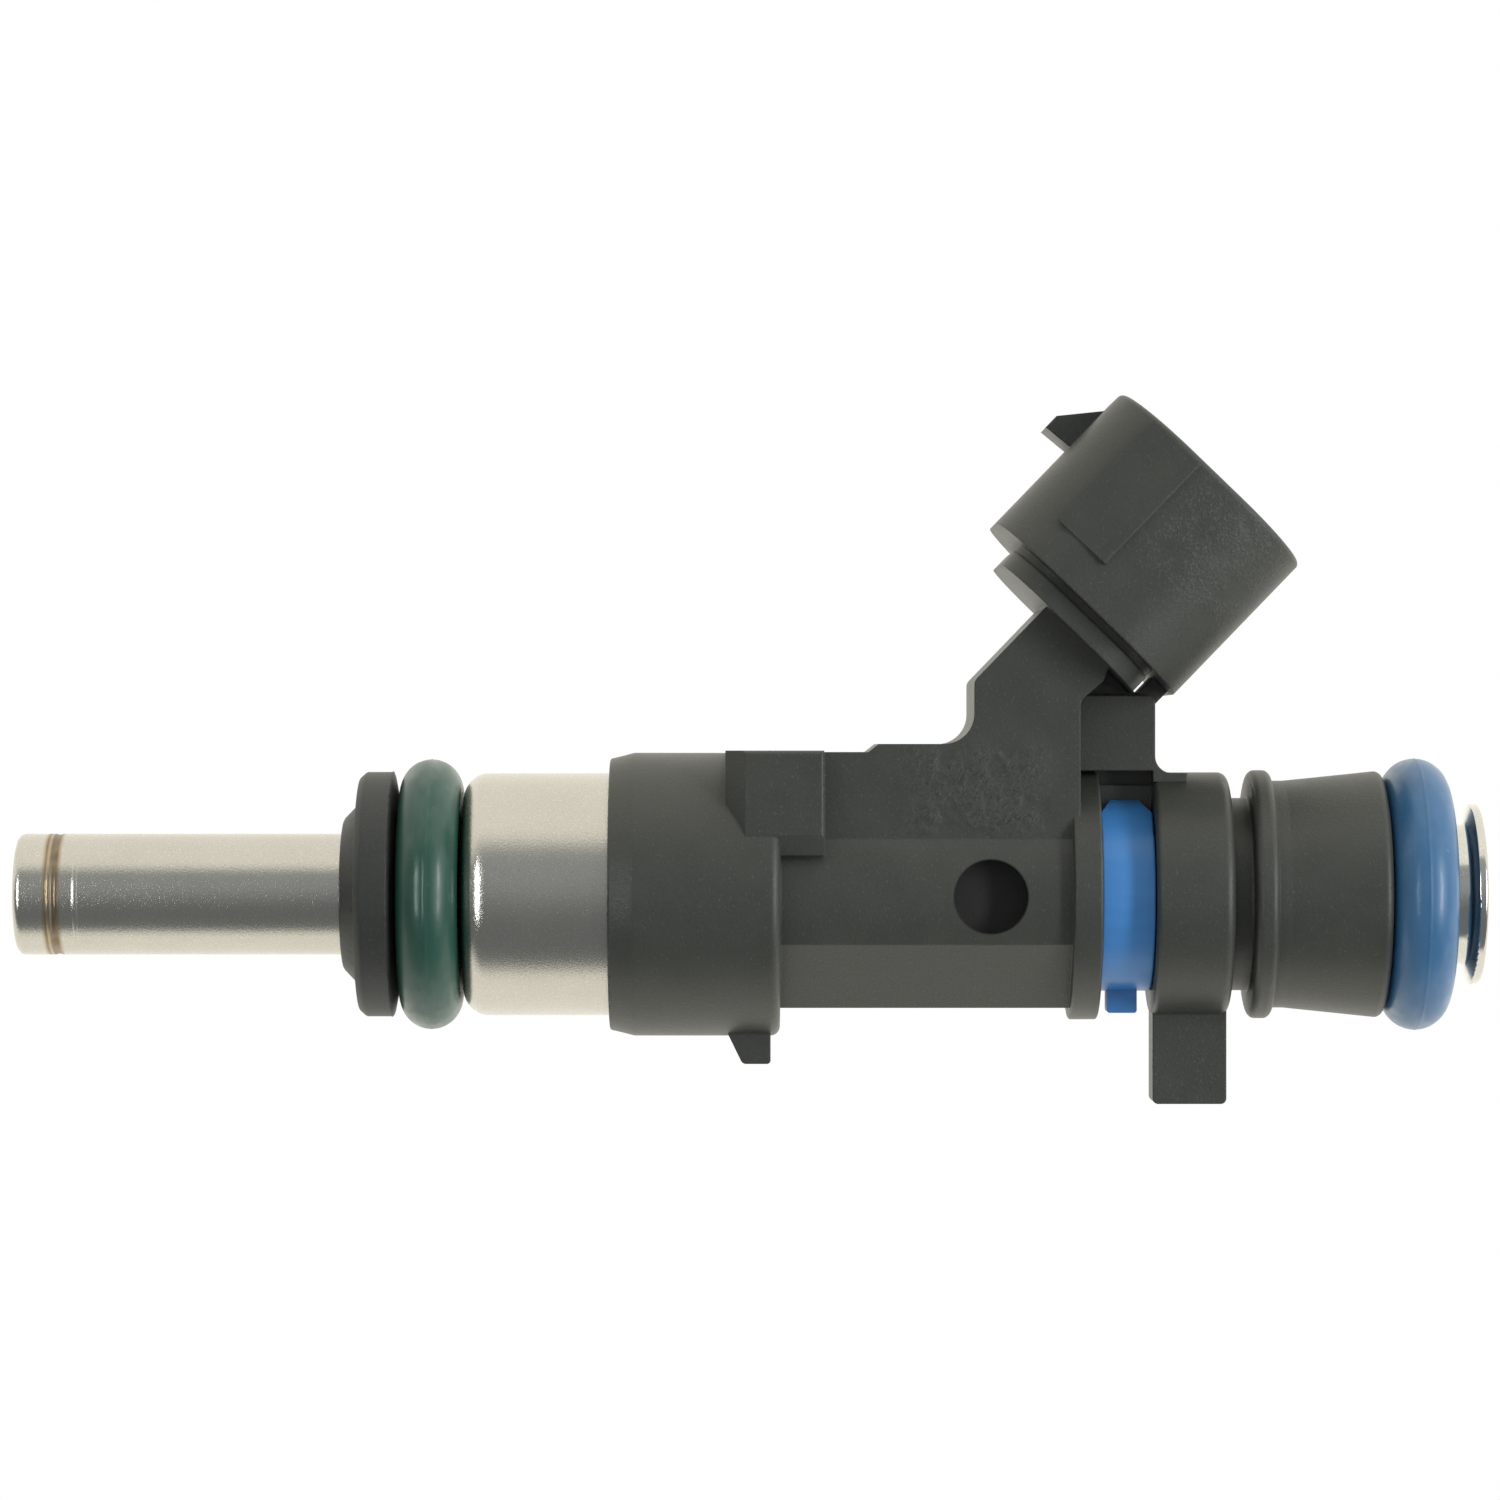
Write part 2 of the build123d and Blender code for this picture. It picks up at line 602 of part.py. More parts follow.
def marker_ring():
    """Open coloured ring snapped into its groove, with chamfered ends and a small foot."""
    low = MARKER_Z + 0.04
    high = KEY_COLLAR_Z - 0.04
    band = turned(
        (MARKER_BORE, low),
        (MARKER_RADIUS, low, 0.12),
        (MARKER_RADIUS, high, 0.12),
        (MARKER_BORE, high),
    )
    gap = KEY_HALF + 0.12
    band -= plate(gap, (low - 1, 0), (low - 1, FLANGE_RADIUS), (high + 1, FLANGE_RADIUS), (high + 1, 0))
    end = sqrt(MARKER_RADIUS**2 - gap**2)
    for edge, inward in ((low, MARKER_CHAMFER), (high, -MARKER_CHAMFER)):
        band -= plate(
            MARKER_RADIUS,
            (edge - inward, end - 1.1 * MARKER_CHAMFER),
            (edge, end - 1.1 * MARKER_CHAMFER),
            (edge + inward, end),
            (edge + inward, FLANGE_RADIUS),
            (edge - inward, FLANGE_RADIUS),
        )
    foot = plate(
        MARKER_FOOT_HALF,
        (low + 0.5, -MARKER_BORE - 0.1),
        (low + 0.5, -MARKER_FOOT_REACH, 0.15),
        (low + 2.1, -MARKER_FOOT_REACH, 0.15),
        (low + 2.1, -MARKER_BORE - 0.1),
    )
    return band + foot


# ---------------------------------------------------------------- moulded housing
def collar_and_barrel():
    """Large collar over the can, the barrel and every ring above it."""
    collar = turned(
        (TUBE_RADIUS, COLLAR_Z),
        (COLLAR_RADIUS - COLLAR_LEAD, COLLAR_Z, 0.15),
        (COLLAR_RADIUS, COLLAR_Z + COLLAR_LEAD_LENGTH, 0.6),
        (COLLAR_RADIUS, BARREL_Z, 0.5),
        (TUBE_RADIUS, BARREL_Z),
    )
    facet_side = sqrt(BARREL_RADIUS**2 - KEEL_REACH**2)
    facet_end = facet_side - (BARREL_RADIUS - KEEL_REACH)
    round_part = Circle(BARREL_RADIUS) - Pos(BARREL_RADIUS + KEEL_REACH, 0) * Rectangle(
        2 * BARREL_RADIUS, 4 * BARREL_RADIUS
    )
    keel = outline(
        (KEEL_REACH - MERGE, -facet_side),
        (KEEL_REACH, -facet_side),
        (BARREL_RADIUS, -facet_end),
        (BARREL_RADIUS, facet_end),
        (KEEL_REACH, facet_side),
        (KEEL_REACH - MERGE, facet_side),
    )
    section = round_part + keel
    barrel = extrude(Plane.XY.offset(BARREL_Z - 1) * section, amount=BARREL_LENGTH + 1.5)
    rings = turned(
        (TUBE_RADIUS, FLANGE_Z),
        (FLANGE_RADIUS, FLANGE_Z, 0.15),
        (FLANGE_RADIUS, MARKER_Z, 0.15),
        (MARKER_BORE, MARKER_Z),
        (MARKER_BORE, KEY_COLLAR_Z),
        (KEY_COLLAR_RADIUS, KEY_COLLAR_Z, 0.25),
        (KEY_COLLAR_RADIUS, CLIP_GROOVE_Z, 0.5),
        (CLIP_GROOVE_RADIUS, CLIP_GROOVE_Z, 0.15),
        (CLIP_GROOVE_RADIUS, RIDGE_Z, 0.15),
        (RIDGE_RADIUS, RIDGE_Z, 0.4),
        (RIDGE_RADIUS, LAND_Z, 0.4),
        (LAND_RADIUS, LAND_Z),
        (LAND_RADIUS, LAND_Z + 0.7, 0.5),
        (SEAL_END_RADIUS, HOUSING_TOP, SEAL_END_CORNER),
        (TUBE_RADIUS, HOUSING_TOP),
    )
    return collar + barrel + rings


def shoulder_block():
    """Wide block across the top of the collar, chamfered towards the nozzle and underneath."""
    low = BARREL_Z - BLOCK_SETBACK
    high = low + BLOCK_LENGTH
    half = COLLAR_RADIUS - BLOCK_INSET
    top = COLLAR_RADIUS + BLOCK_RISE
    under = half - 0.55 * BLOCK_CHAMFER
    front = half - BLOCK_CHAMFER
    section = outline(
        (-BLOCK_LOW, -under),
        (-BLOCK_LOW, under),
        (-BLOCK_LOW - BLOCK_CHAMFER, half),
        (-top, half, 0.25),
        (-top, -half, 0.25),
        (-BLOCK_LOW - BLOCK_CHAMFER, -half),
    )
    plan = outline(
        (-front, low),
        (front, low),
        (half, low + BLOCK_CHAMFER),
        (half, high, 0.15),
        (-half, high, 0.15),
        (-half, low + BLOCK_CHAMFER),
    )
    bar = extrude(Plane.XY.offset(low) * section, amount=high - low)
    return bar & extrude(Plane.YZ * plan, amount=-top - 1)


def web_and_neck():
    """Web on the barrel that rises into the connector's neck."""
    start = BARREL_Z - WEB_FOOT
    step = BARREL_Z + WEB_STEP
    neck = FLANGE_Z - NECK_SETBACK
    back = FLANGE_Z + NECK_OVERHANG
    under = -BASE_THICKNESS - 0.1
    foot_top = KEY_COLLAR_RADIUS - 0.03
    foot_end = KEY_COLLAR_Z + RIB_FOOT
    web = plate(
        WEB_HALF,
        (start, 0),
        (start, WEB_LOW_TOP),
        (step, WEB_LOW_TOP),
        (step + WEB_STEP_RUN, WEB_TOP),
        (neck, WEB_TOP, NECK_FILLET),
        (neck, NECK_FRONT, 0.5),
        beside(under, 1.6),
        beside(under, -NECK_SHOULDER),
        (back + 1.2, RIB_TOP + 0.75),
        (back, RIB_TOP - 0.3, 0.6),
        (back, 0),
    )
    rib = plate(
        RIB_HALF,
        (back - MERGE, RIB_BOTTOM),
        (back - MERGE, RIB_TOP),
        (KEY_COLLAR_Z + 0.1, RIB_TOP, 0.3),
        (KEY_COLLAR_Z + 0.1, foot_top, 0.9),
        (foot_end, foot_top),
        (foot_end, KEY_COLLAR_RADIUS - MERGE),
        (KEY_COLLAR_Z, KEY_COLLAR_RADIUS - MERGE),
        (KEY_COLLAR_Z, RIB_BOTTOM),
    )
    core = plate(
        CORE_HALF,
        (back - MERGE, RIB_TOP - MERGE),
        beside(under, -1.0),
        beside(under, -BASE_DEPTH / 2 + 0.3),
        (KEY_COLLAR_Z - 0.4, RIB_TOP - MERGE),
    )
    lug = plate(
        CORE_HALF,
        beside(-1.9, -BASE_DEPTH / 2 - 0.35),
        beside(0.5, -BASE_DEPTH / 2 - 0.35),
        beside(0.5, -SHROUD_DEPTH / 2 + 0.25),
        beside(-1.5, -SHROUD_DEPTH / 2 + 0.25),
    )
    return web + rib + core + lug + key_block(KEY_HALF, KEY_TOP) + key_block(KEY_WALL / 2, RIB_BOTTOM + 0.2)


def key_block(half, top):
    """Block across the marker ring's groove, up to a given height above the axis."""
    return plate(
        half,
        (MARKER_Z - 0.2, MARKER_BORE - 0.4),
        (MARKER_Z - 0.2, top),
        (KEY_COLLAR_Z + 0.2, top),
        (KEY_COLLAR_Z + 0.2, MARKER_BORE - 0.4),
    )


def side_panel():
    """Panel that stands proud of the shroud's side along one edge and runs out at the other."""
    half = SHROUD_WIDTH / 2
    inside = half - SHROUD_WALL / 2
    section = outline(
        (inside, PANEL_EDGE),
        (half + PANEL_PROUD, PANEL_EDGE, 0.15),
        (half + PANEL_PROUD - 0.05, PANEL_EDGE + 0.7),
        (half - 0.38, PANEL_EDGE + PANEL_RUN),
        (inside, PANEL_EDGE + PANEL_RUN),
    )
    return extrude(SOCKET.offset(PANEL_START) * section, amount=SHROUD_LENGTH - PANEL_START - PANEL_STOP)


def connector_shroud():
    """Tilted socket with its base flange, raised panels and latch ramp."""
    base = rounded_prism(BASE_WIDTH, BASE_DEPTH, BASE_CORNER, -BASE_THICKNESS - BASE_FOOT, -0.75)
    seam = rounded_prism(BASE_WIDTH - 2 * SEAM_INSET, BASE_DEPTH - 0.12, BASE_CORNER - 0.2, -0.8, -0.2)
    shell = rounded_prism(SHROUD_WIDTH, SHROUD_DEPTH, SHROUD_CORNER, -0.3, SHROUD_LENGTH)
    rim_edges = shell.faces().sort_by(Axis(SOCKET.origin, SOCKET.z_dir))[-1].edges()
    panel = side_panel()
    shell = fillet(rim_edges, RIM_FILLET) + panel + mirror(panel, about=Plane.XZ)
    latch = plate(
        LATCH_HALF,
        beside(LATCH_START + 0.15, SHROUD_DEPTH / 2 - 0.3),
        beside(LATCH_START, SHROUD_DEPTH / 2 + LATCH_PROUD),
        beside(LATCH_START + LATCH_FLAT, SHROUD_DEPTH / 2 + LATCH_PROUD),
        beside(LATCH_END, SHROUD_DEPTH / 2),
        beside(LATCH_END, SHROUD_DEPTH / 2 - 0.3),
    )
    socket = rounded_prism(
        SHROUD_WIDTH - 2 * SHROUD_WALL,
        SHROUD_DEPTH - 2 * SHROUD_WALL,
        SHROUD_CORNER - SHROUD_WALL,
        SOCKET_FLOOR,
        SHROUD_LENGTH + 1,
    )
    return base + seam + shell + latch - socket


def tabs():
    """Orientation tab on the key collar and the small tab under the large collar."""
    orientation = plate(
        TAB_HALF,
        (KEY_COLLAR_Z + 0.05, -CLIP_GROOVE_RADIUS),
        (KEY_COLLAR_Z + 0.05, -TAB_REACH, 0.3),
        (KEY_COLLAR_Z + 0.05 + TAB_WIDTH, -TAB_REACH, 0.3),
        (KEY_COLLAR_Z + 0.05 + TAB_WIDTH, -CLIP_GROOVE_RADIUS),
    )
    drop = COLLAR_RADIUS + LOWER_TAB_DROP
    lower = plate(
        LOWER_TAB_HALF,
        (BARREL_Z - LOWER_TAB_LENGTH - MERGE, -COLLAR_RADIUS + 0.4),
        (BARREL_Z - LOWER_TAB_LENGTH - MERGE + LOWER_TAB_SLOPE, -drop, 0.3),
        (BARREL_Z - MERGE, -drop, 0.2),
        (BARREL_Z - MERGE, -COLLAR_RADIUS + 0.4),
    )
    return orientation + lower


def overmould_housing():
    """Black moulding round the can, the tube and the terminals, with the connector's socket."""
    body = collar_and_barrel() + shoulder_block() + web_and_neck() + connector_shroud() + tabs()
    body -= rod(TUBE_RADIUS, COLLAR_Z - 1, HOUSING_TOP + 1)
    body -= rod(CAN_RADIUS, COLLAR_Z - 1, CAN_TOP) - terminal_gap()
    hole_floor = TUBE_RADIUS + SIDE_HOLE_WALL
    hole_depth = BARREL_RADIUS - hole_floor + 1
    hole = Rot(90, 0, 0) * Cylinder(SIDE_HOLE_RADIUS, hole_depth)
    for side in (1, -1):
        body -= Pos(0, side * (hole_floor + hole_depth / 2), FLANGE_Z - SIDE_HOLE_SETBACK) * hole
    for height in (COLLAR_Z + 3.1, COLLAR_Z + 4.5):
        body -= Pos(COLLAR_RADIUS + 0.12, 0, height) * Sphere(0.4)
    return body - coil_bobbin() - terminal(1) - terminal(-1)


NODES = {
    "nozzle_extension": nozzle_extension,
    "valve_sleeve": valve_sleeve,
    "inlet_tube": inlet_tube,
    "solenoid_can": solenoid_can,
    "flux_washer": flux_washer,
    "coil_bobbin": coil_bobbin,
    "coil_winding": coil_winding,
    "pole_core": pole_core,
    "adjusting_tube": adjusting_tube,
    "return_spring": return_spring,
    "armature": armature,
    "needle_tube": needle_tube,
    "valve_ball": valve_ball,
    "valve_seat": valve_seat,
    "spray_plate": spray_plate,
    "filter_collar": filter_collar,
    "filter_frame": filter_frame,
    "filter_mesh": filter_mesh,
    "lower_o_ring": lower_o_ring,
    "upper_o_ring": upper_o_ring,
    "support_washer": support_washer,
    "marker_ring": marker_ring,
    "overmould_housing": overmould_housing,
}

os.makedirs("parts", exist_ok=True)
for name, build in NODES.items():
    export_step(build(), f"parts/{name}.step")
for name, side in (("terminal_left", 1), ("terminal_right", -1)):
    export_step(terminal(side), f"parts/{name}.step")
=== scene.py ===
"""Looks of the fuel injector: finishes, detailed seals, washer and filter screen, studio and camera."""

import json
import logging
from dataclasses import dataclass, field
from enum import Enum
from math import cos, radians, sin
from typing import Any, Iterable, Optional, Union

import bpy
from mathutils import Matrix, Vector


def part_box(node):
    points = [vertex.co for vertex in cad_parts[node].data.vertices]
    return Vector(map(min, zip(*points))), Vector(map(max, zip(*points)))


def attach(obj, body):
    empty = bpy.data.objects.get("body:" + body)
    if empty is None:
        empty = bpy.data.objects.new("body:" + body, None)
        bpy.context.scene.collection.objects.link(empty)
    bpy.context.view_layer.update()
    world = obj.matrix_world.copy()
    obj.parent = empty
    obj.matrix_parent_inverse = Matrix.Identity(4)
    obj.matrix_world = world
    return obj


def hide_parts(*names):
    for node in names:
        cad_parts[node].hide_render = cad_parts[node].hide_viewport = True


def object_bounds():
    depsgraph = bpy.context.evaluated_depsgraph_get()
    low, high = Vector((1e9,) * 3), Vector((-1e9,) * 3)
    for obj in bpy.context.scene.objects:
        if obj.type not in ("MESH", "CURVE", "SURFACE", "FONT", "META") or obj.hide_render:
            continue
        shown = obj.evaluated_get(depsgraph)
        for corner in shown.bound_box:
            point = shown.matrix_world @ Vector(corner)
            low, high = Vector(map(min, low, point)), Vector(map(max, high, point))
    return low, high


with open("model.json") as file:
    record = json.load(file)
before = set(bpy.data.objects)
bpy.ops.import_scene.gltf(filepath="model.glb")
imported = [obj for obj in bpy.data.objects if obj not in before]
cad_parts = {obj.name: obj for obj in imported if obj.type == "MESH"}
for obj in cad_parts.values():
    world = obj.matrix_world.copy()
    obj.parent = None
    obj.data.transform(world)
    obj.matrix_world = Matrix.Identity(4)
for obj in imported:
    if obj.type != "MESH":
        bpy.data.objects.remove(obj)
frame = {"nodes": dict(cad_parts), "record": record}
CAD_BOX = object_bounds()

LOG = logging.getLogger("injector")
MM = 0.001

MERGE_REACH = 0.0005 * MM

Colour = tuple[float, float, float]


class Body(Enum):
    """The two bodies that pieces ride on."""

    INJECTOR = "injector_body"
    NEEDLE = "needle"


# ---------------------------------------------------------------- shader writing


class Signal:
    """A value that varies over a surface, so that shader maths reads as a sum."""

    def __init__(self, writer: "NodeWriter", socket: bpy.types.NodeSocket) -> None:
        """Wraps one output socket of a node."""
        self.writer = writer
        self.socket = socket

    def _maths(self, operation: str, left: "Number", right: "Number") -> "Signal":
        """Adds one Math node that joins two values."""
        return self.writer.node(
            "ShaderNodeMath", {"operation": operation}, {0: left, 1: right}
        )

    def __add__(self, other: "Number") -> "Signal":
        """This value plus another."""
        return self._maths("ADD", self, other)

    __radd__ = __add__

    def __mul__(self, other: "Number") -> "Signal":
        """This value times another."""
        return self._maths("MULTIPLY", self, other)

    __rmul__ = __mul__

    def __sub__(self, other: "Number") -> "Signal":
        """This value less another."""
        return self._maths("SUBTRACT", self, other)

    def __rsub__(self, other: "Number") -> "Signal":
        """Another value less this one."""
        return self._maths("SUBTRACT", other, self)

    def __pow__(self, other: "Number") -> "Signal":
        """This value to a power."""
        return self._maths("POWER", self, other)

    def clipped(self, low: float, high: float) -> "Signal":
        """This value spread from low..high to 0..1, with soft ends.

        Args:
            low: the value that becomes 0.
            high: the value that becomes 1, which may be the smaller one.

        Returns:
            The new value.
        """
        return self.writer.node(
            "ShaderNodeMapRange",
            {"interpolation_type": "SMOOTHSTEP"},
            {"Value": self, "From Min": low, "From Max": high},
        )


Number = Union[Signal, float]
Tint = Union[Signal, Colour]


class NodeWriter:
    """Writes nodes into one node tree."""

    def __init__(self, tree: bpy.types.NodeTree) -> None:
        """Takes the tree to write into."""
        self.tree = tree

    def node(
        self,
        kind: str,
        settings: Optional[dict[str, Any]] = None,
        inputs: Optional[dict[Any, Any]] = None,
        output: Union[int, str] = 0,
    ) -> Signal:
        """Adds a node.

        Args:
            kind: the node's type.
            settings: its own settings, set before its sockets.
            inputs: a value or a signal for each socket that isn't left alone.
            output: the output to hand back.

        Returns:
            That output.
        """
        made = self.tree.nodes.new(kind)
        for name, value in (settings or {}).items():
            setattr(made, name, value)
        for key, value in (inputs or {}).items():
            if isinstance(value, Signal):
                self.tree.links.new(value.socket, made.inputs[key])
            else:
                made.inputs[key].default_value = value
        return Signal(self, made.outputs[output])

    def mix(self, factor: Number, first: Tint, second: Tint) -> Signal:
        """A colour between two colours, by a factor from 0 to 1."""
        colours = [c if isinstance(c, Signal) else (*c, 1.0) for c in (first, second)]
        return self.node(
            "ShaderNodeMix",
            {"data_type": "RGBA"},
            {0: factor, 6: colours[0], 7: colours[1]},
            2,
        )


class Shader(NodeWriter):
    """One material being written, with the nodes that its finish asks for."""

    def __init__(self, name: str) -> None:
        """Starts an empty material with a Principled shader."""
        self.material = bpy.data.materials.new(name)
        self.material.use_nodes = True
        super().__init__(self.material.node_tree)
        self.surface = self.tree.nodes["Principled BSDF"]
        self.place = self.node("ShaderNodeTexCoord", output="Object")

    def mapped(
        self,
        scale: tuple[float, float, float] = (1, 1, 1),
        centre: tuple[float, float, float] = (0, 0, 0),
        turn: tuple[float, float, float] = (0, 0, 0),
    ) -> Signal:
        """The surface's place in a frame of its own.

        Args:
            scale: the size of that frame's unit along each axis, in metres.
            centre: that frame's origin, in metres.
            turn: that frame's turn, in radians.

        Returns:
            The place as a vector.
        """
        return self.node(
            "ShaderNodeMapping",
            {"vector_type": "TEXTURE"},
            {"Vector": self.place, "Location": centre, "Rotation": turn, "Scale": scale},
        )

    def grain(
        self,
        size: Union[float, tuple[float, float, float]],
        detail: float = 3.0,
        roughness: float = 0.5,
        distortion: float = 0.0,
        turn: tuple[float, float, float] = (0, 0, 0),
    ) -> Signal:
        """A random pattern from 0 to 1.

        Args:
            size: the size of its features in metres, or one size along each axis.
            detail: how many finer patterns are added.
            roughness: how strong the finer patterns are.
            distortion: how much it is stirred.
            turn: how the axes of the sizes are turned.

        Returns:
            The pattern.
        """
        sizes = size if isinstance(size, tuple) else (size, size, size)
        return self.node(
            "ShaderNodeTexNoise",
            {"noise_dimensions": "3D"},
            {
                "Vector": self.mapped(sizes, turn=turn),
                "Scale": 1.0,
                "Detail": detail,
                "Roughness": roughness,
                "Distortion": distortion,
            },
        )

    def along(self, axis: str) -> Signal:
        """The surface's place along X, Y or Z, in metres."""
        return self.node("ShaderNodeSeparateXYZ", None, {0: self.place}, axis)

    def band(self, axis: str, low: float, high: float, soft: float) -> Signal:
        """A mask that is 1 between two places on an axis.

        Args:
            axis: X, Y or Z.
            low: where it starts, in metres.
            high: where it ends, in metres.
            soft: how wide its two ends are, in metres.

        Returns:
            The mask.
        """
        place = self.along(axis)
        return place.clipped(low - soft, low) * place.clipped(high + soft, high)

    def patch(
        self,
        centre: tuple[float, float, float],
        half: tuple[float, float, float],
        turn: tuple[float, float, float] = (0, 0, 0),
        soft: float = 0.25,
    ) -> Signal:
        """A mask that is 1 inside a turned, rounded box.

        Args:
            centre: the box's middle, in metres.
            half: half its sizes, in metres.
            turn: its turn, in radians.
            soft: how wide its edge is, as a share of its half size.

        Returns:
            The mask.
        """
        local = self.mapped(half, centre, turn)
        spread = self.node("ShaderNodeVectorMath", {"operation": "ABSOLUTE"}, {0: local})
        mask: Number = 1.0
        for axis in "XYZ":
            reach = self.node("ShaderNodeSeparateXYZ", None, {0: spread}, axis)
            mask = reach.clipped(1.0 + soft, 1.0 - soft) * mask
        return mask

    def relief(self, height: Signal, depth: float, under: Optional[Signal] = None) -> Signal:
        """A surface relief.

        Args:
            height: the relief, from 0 to 1.
            depth: its depth in metres.
            under: the relief that it lies on.

        Returns:
            The surface's normal.
        """
        inputs: dict[str, Any] = {"Height": height, "Distance": depth, "Strength": 1.0}
        if under is not None:
            inputs["Normal"] = under
        return self.node("ShaderNodeBump", None, inputs)

    def finish(self, constants: dict[str, Any], varying: dict[str, Signal]) -> bpy.types.Material:
        """Sets the shader's sockets.

        Args:
            constants: sockets that are the same all over.
            varying: sockets that change over the surface.

        Returns:
            The finished material.
        """
        for name, value in constants.items():
            self.surface.inputs[name].default_value = value
        for name, signal in varying.items():
            self.tree.links.new(signal.socket, self.surface.inputs[name])
        return self.material


# ---------------------------------------------------------------- finishes


def shade(colour: Colour, factor: float) -> Colour:
    """A colour made lighter or darker by a factor."""
    return (colour[0] * factor, colour[1] * factor, colour[2] * factor)


@dataclass(frozen=True)
class RoughPatch:
    """An area of a moulding whose skin is coarse, where the filled nylon cooled unevenly; its crumple's
    specks are painted darker as painted shade in the creases, or lighter as painted sparkle, by the
    patch's tone.
    """

    centre: tuple[float, float, float]
    half: tuple[float, float, float]
    turn: tuple[float, float, float] = (0, 0, 0)
    depth: float = 0.06 * MM
    size: Union[float, tuple[float, float, float]] = 0.5 * MM
    lay: tuple[float, float, float] = (0, 0, 0)
    # How much darker or lighter the crumple's specks are painted: below 1 is painted shade, above 1 is
    # painted sparkle.
    tone: float = 2.0
    strength: float = 0.5


@dataclass(frozen=True)
class BlindHole:
    """A round hole across the axis, towards -Y, whose inside is painted darker as painted shade and
    given a rougher, duller surface.
    """

    centre: tuple[float, float, float]
    radius: float
    floor: float
    # How dark the painted shade inside the hole is, as a share of the moulding's colour.
    shade: float = 0.3
    dull: float = 0.25
    rim: tuple[float, float] = (1.05, 1.01)
    lip: float = 1.0 * MM

    def inside(self, shader: Shader) -> Signal:
        """A mask that is 1 in the hole and 0 outside it."""
        local = shader.mapped((self.radius, 1.0, self.radius), self.centre)
        away = shader.node("ShaderNodeVectorMath", {"operation": "LENGTH"}, {0: local}, "Value")
        deep = shader.along("Y").clipped(self.floor + self.lip, self.floor)
        return away.clipped(*self.rim) * deep


@dataclass(frozen=True)
class MouldedNylon:
    """Nylon filled with glass: a satin skin with painted sparkle on its fibres, and coarse where it
    cooled unevenly, with specks of painted shade and painted sparkle on its rough patches.
    """

    name: str
    colour: Colour
    painted_sparkle: Colour
    roughness: float = 0.42
    skin_depth: float = 0.018 * MM
    edge_radius: float = 0.14 * MM
    patches: tuple[RoughPatch, ...] = ()
    holes: tuple[BlindHole, ...] = ()
    cloud_size: float = 2.4 * MM
    skin_size: float = 0.16 * MM
    fibre_size: tuple[float, float, float] = (0.18 * MM, 0.09 * MM, 0.09 * MM)
    fibre_depth: float = 0.004 * MM
    patch_edge: float = 2.0 * MM

    def material(self) -> bpy.types.Material:
        """Builds the material."""
        shader = Shader(self.name)
        cloud = shader.grain(self.cloud_size, 3.0)
        skin = shader.grain(self.skin_size, 4.0, 0.6)
        fibres = shader.grain(self.fibre_size, 2.0, 0.5, 0.3).clipped(0.60, 0.78)
        colour = shader.mix(cloud, shade(self.colour, 0.8), shade(self.colour, 1.2))
        # Painted sparkle: the fibres' specks are mixed towards a lighter colour, as painted highlights.
        colour = shader.mix(fibres * 0.5, colour, self.painted_sparkle)
        rough = cloud * 0.12 + (self.roughness - 0.06) + skin * 0.08 - fibres * 0.05
        corners = shader.node("ShaderNodeBevel", {"samples": 4}, {"Radius": self.edge_radius})
        normal = shader.relief(skin, self.skin_depth, corners)
        normal = shader.relief(fibres, self.fibre_depth, normal)
        for patch in self.patches:
            where = shader.patch(patch.centre, patch.half, patch.turn, 0.35)
            edge = shader.grain(self.patch_edge, 2.0)
            where = where * edge.clipped(0.32, 0.55)
            crumple = shader.grain(patch.size, 4.0, 0.6, 0.4, patch.lay)
            normal = shader.relief(crumple * where, patch.depth, normal)
            # Painted light and shade on the crumple: its specks are mixed darker or lighter than the
            # moulding, by the patch's tone.
            painted_specks = crumple.clipped(0.52, 0.66) * where
            colour = shader.mix(painted_specks * patch.strength, colour, shade(self.colour, patch.tone))
            rough = rough + where * 0.08
        for hole in self.holes:
            inside = hole.inside(shader)
            # Painted shade: the hole's inside is mixed darker than the moulding.
            colour = shader.mix(inside, colour, shade(self.colour, hole.shade))
            rough = rough + inside * hole.dull
        return shader.finish(
            {"Specular IOR Level": 0.5, "IOR": 1.52},
            {"Base Color": colour, "Roughness": rough, "Normal": normal},
        )


@dataclass(frozen=True)
class HeatBand:
    """A band of weld colours round a steel tube."""

    low: float
    high: float
    colour: Colour
    soft: float = 0.35 * MM
    strength: float = 1.0


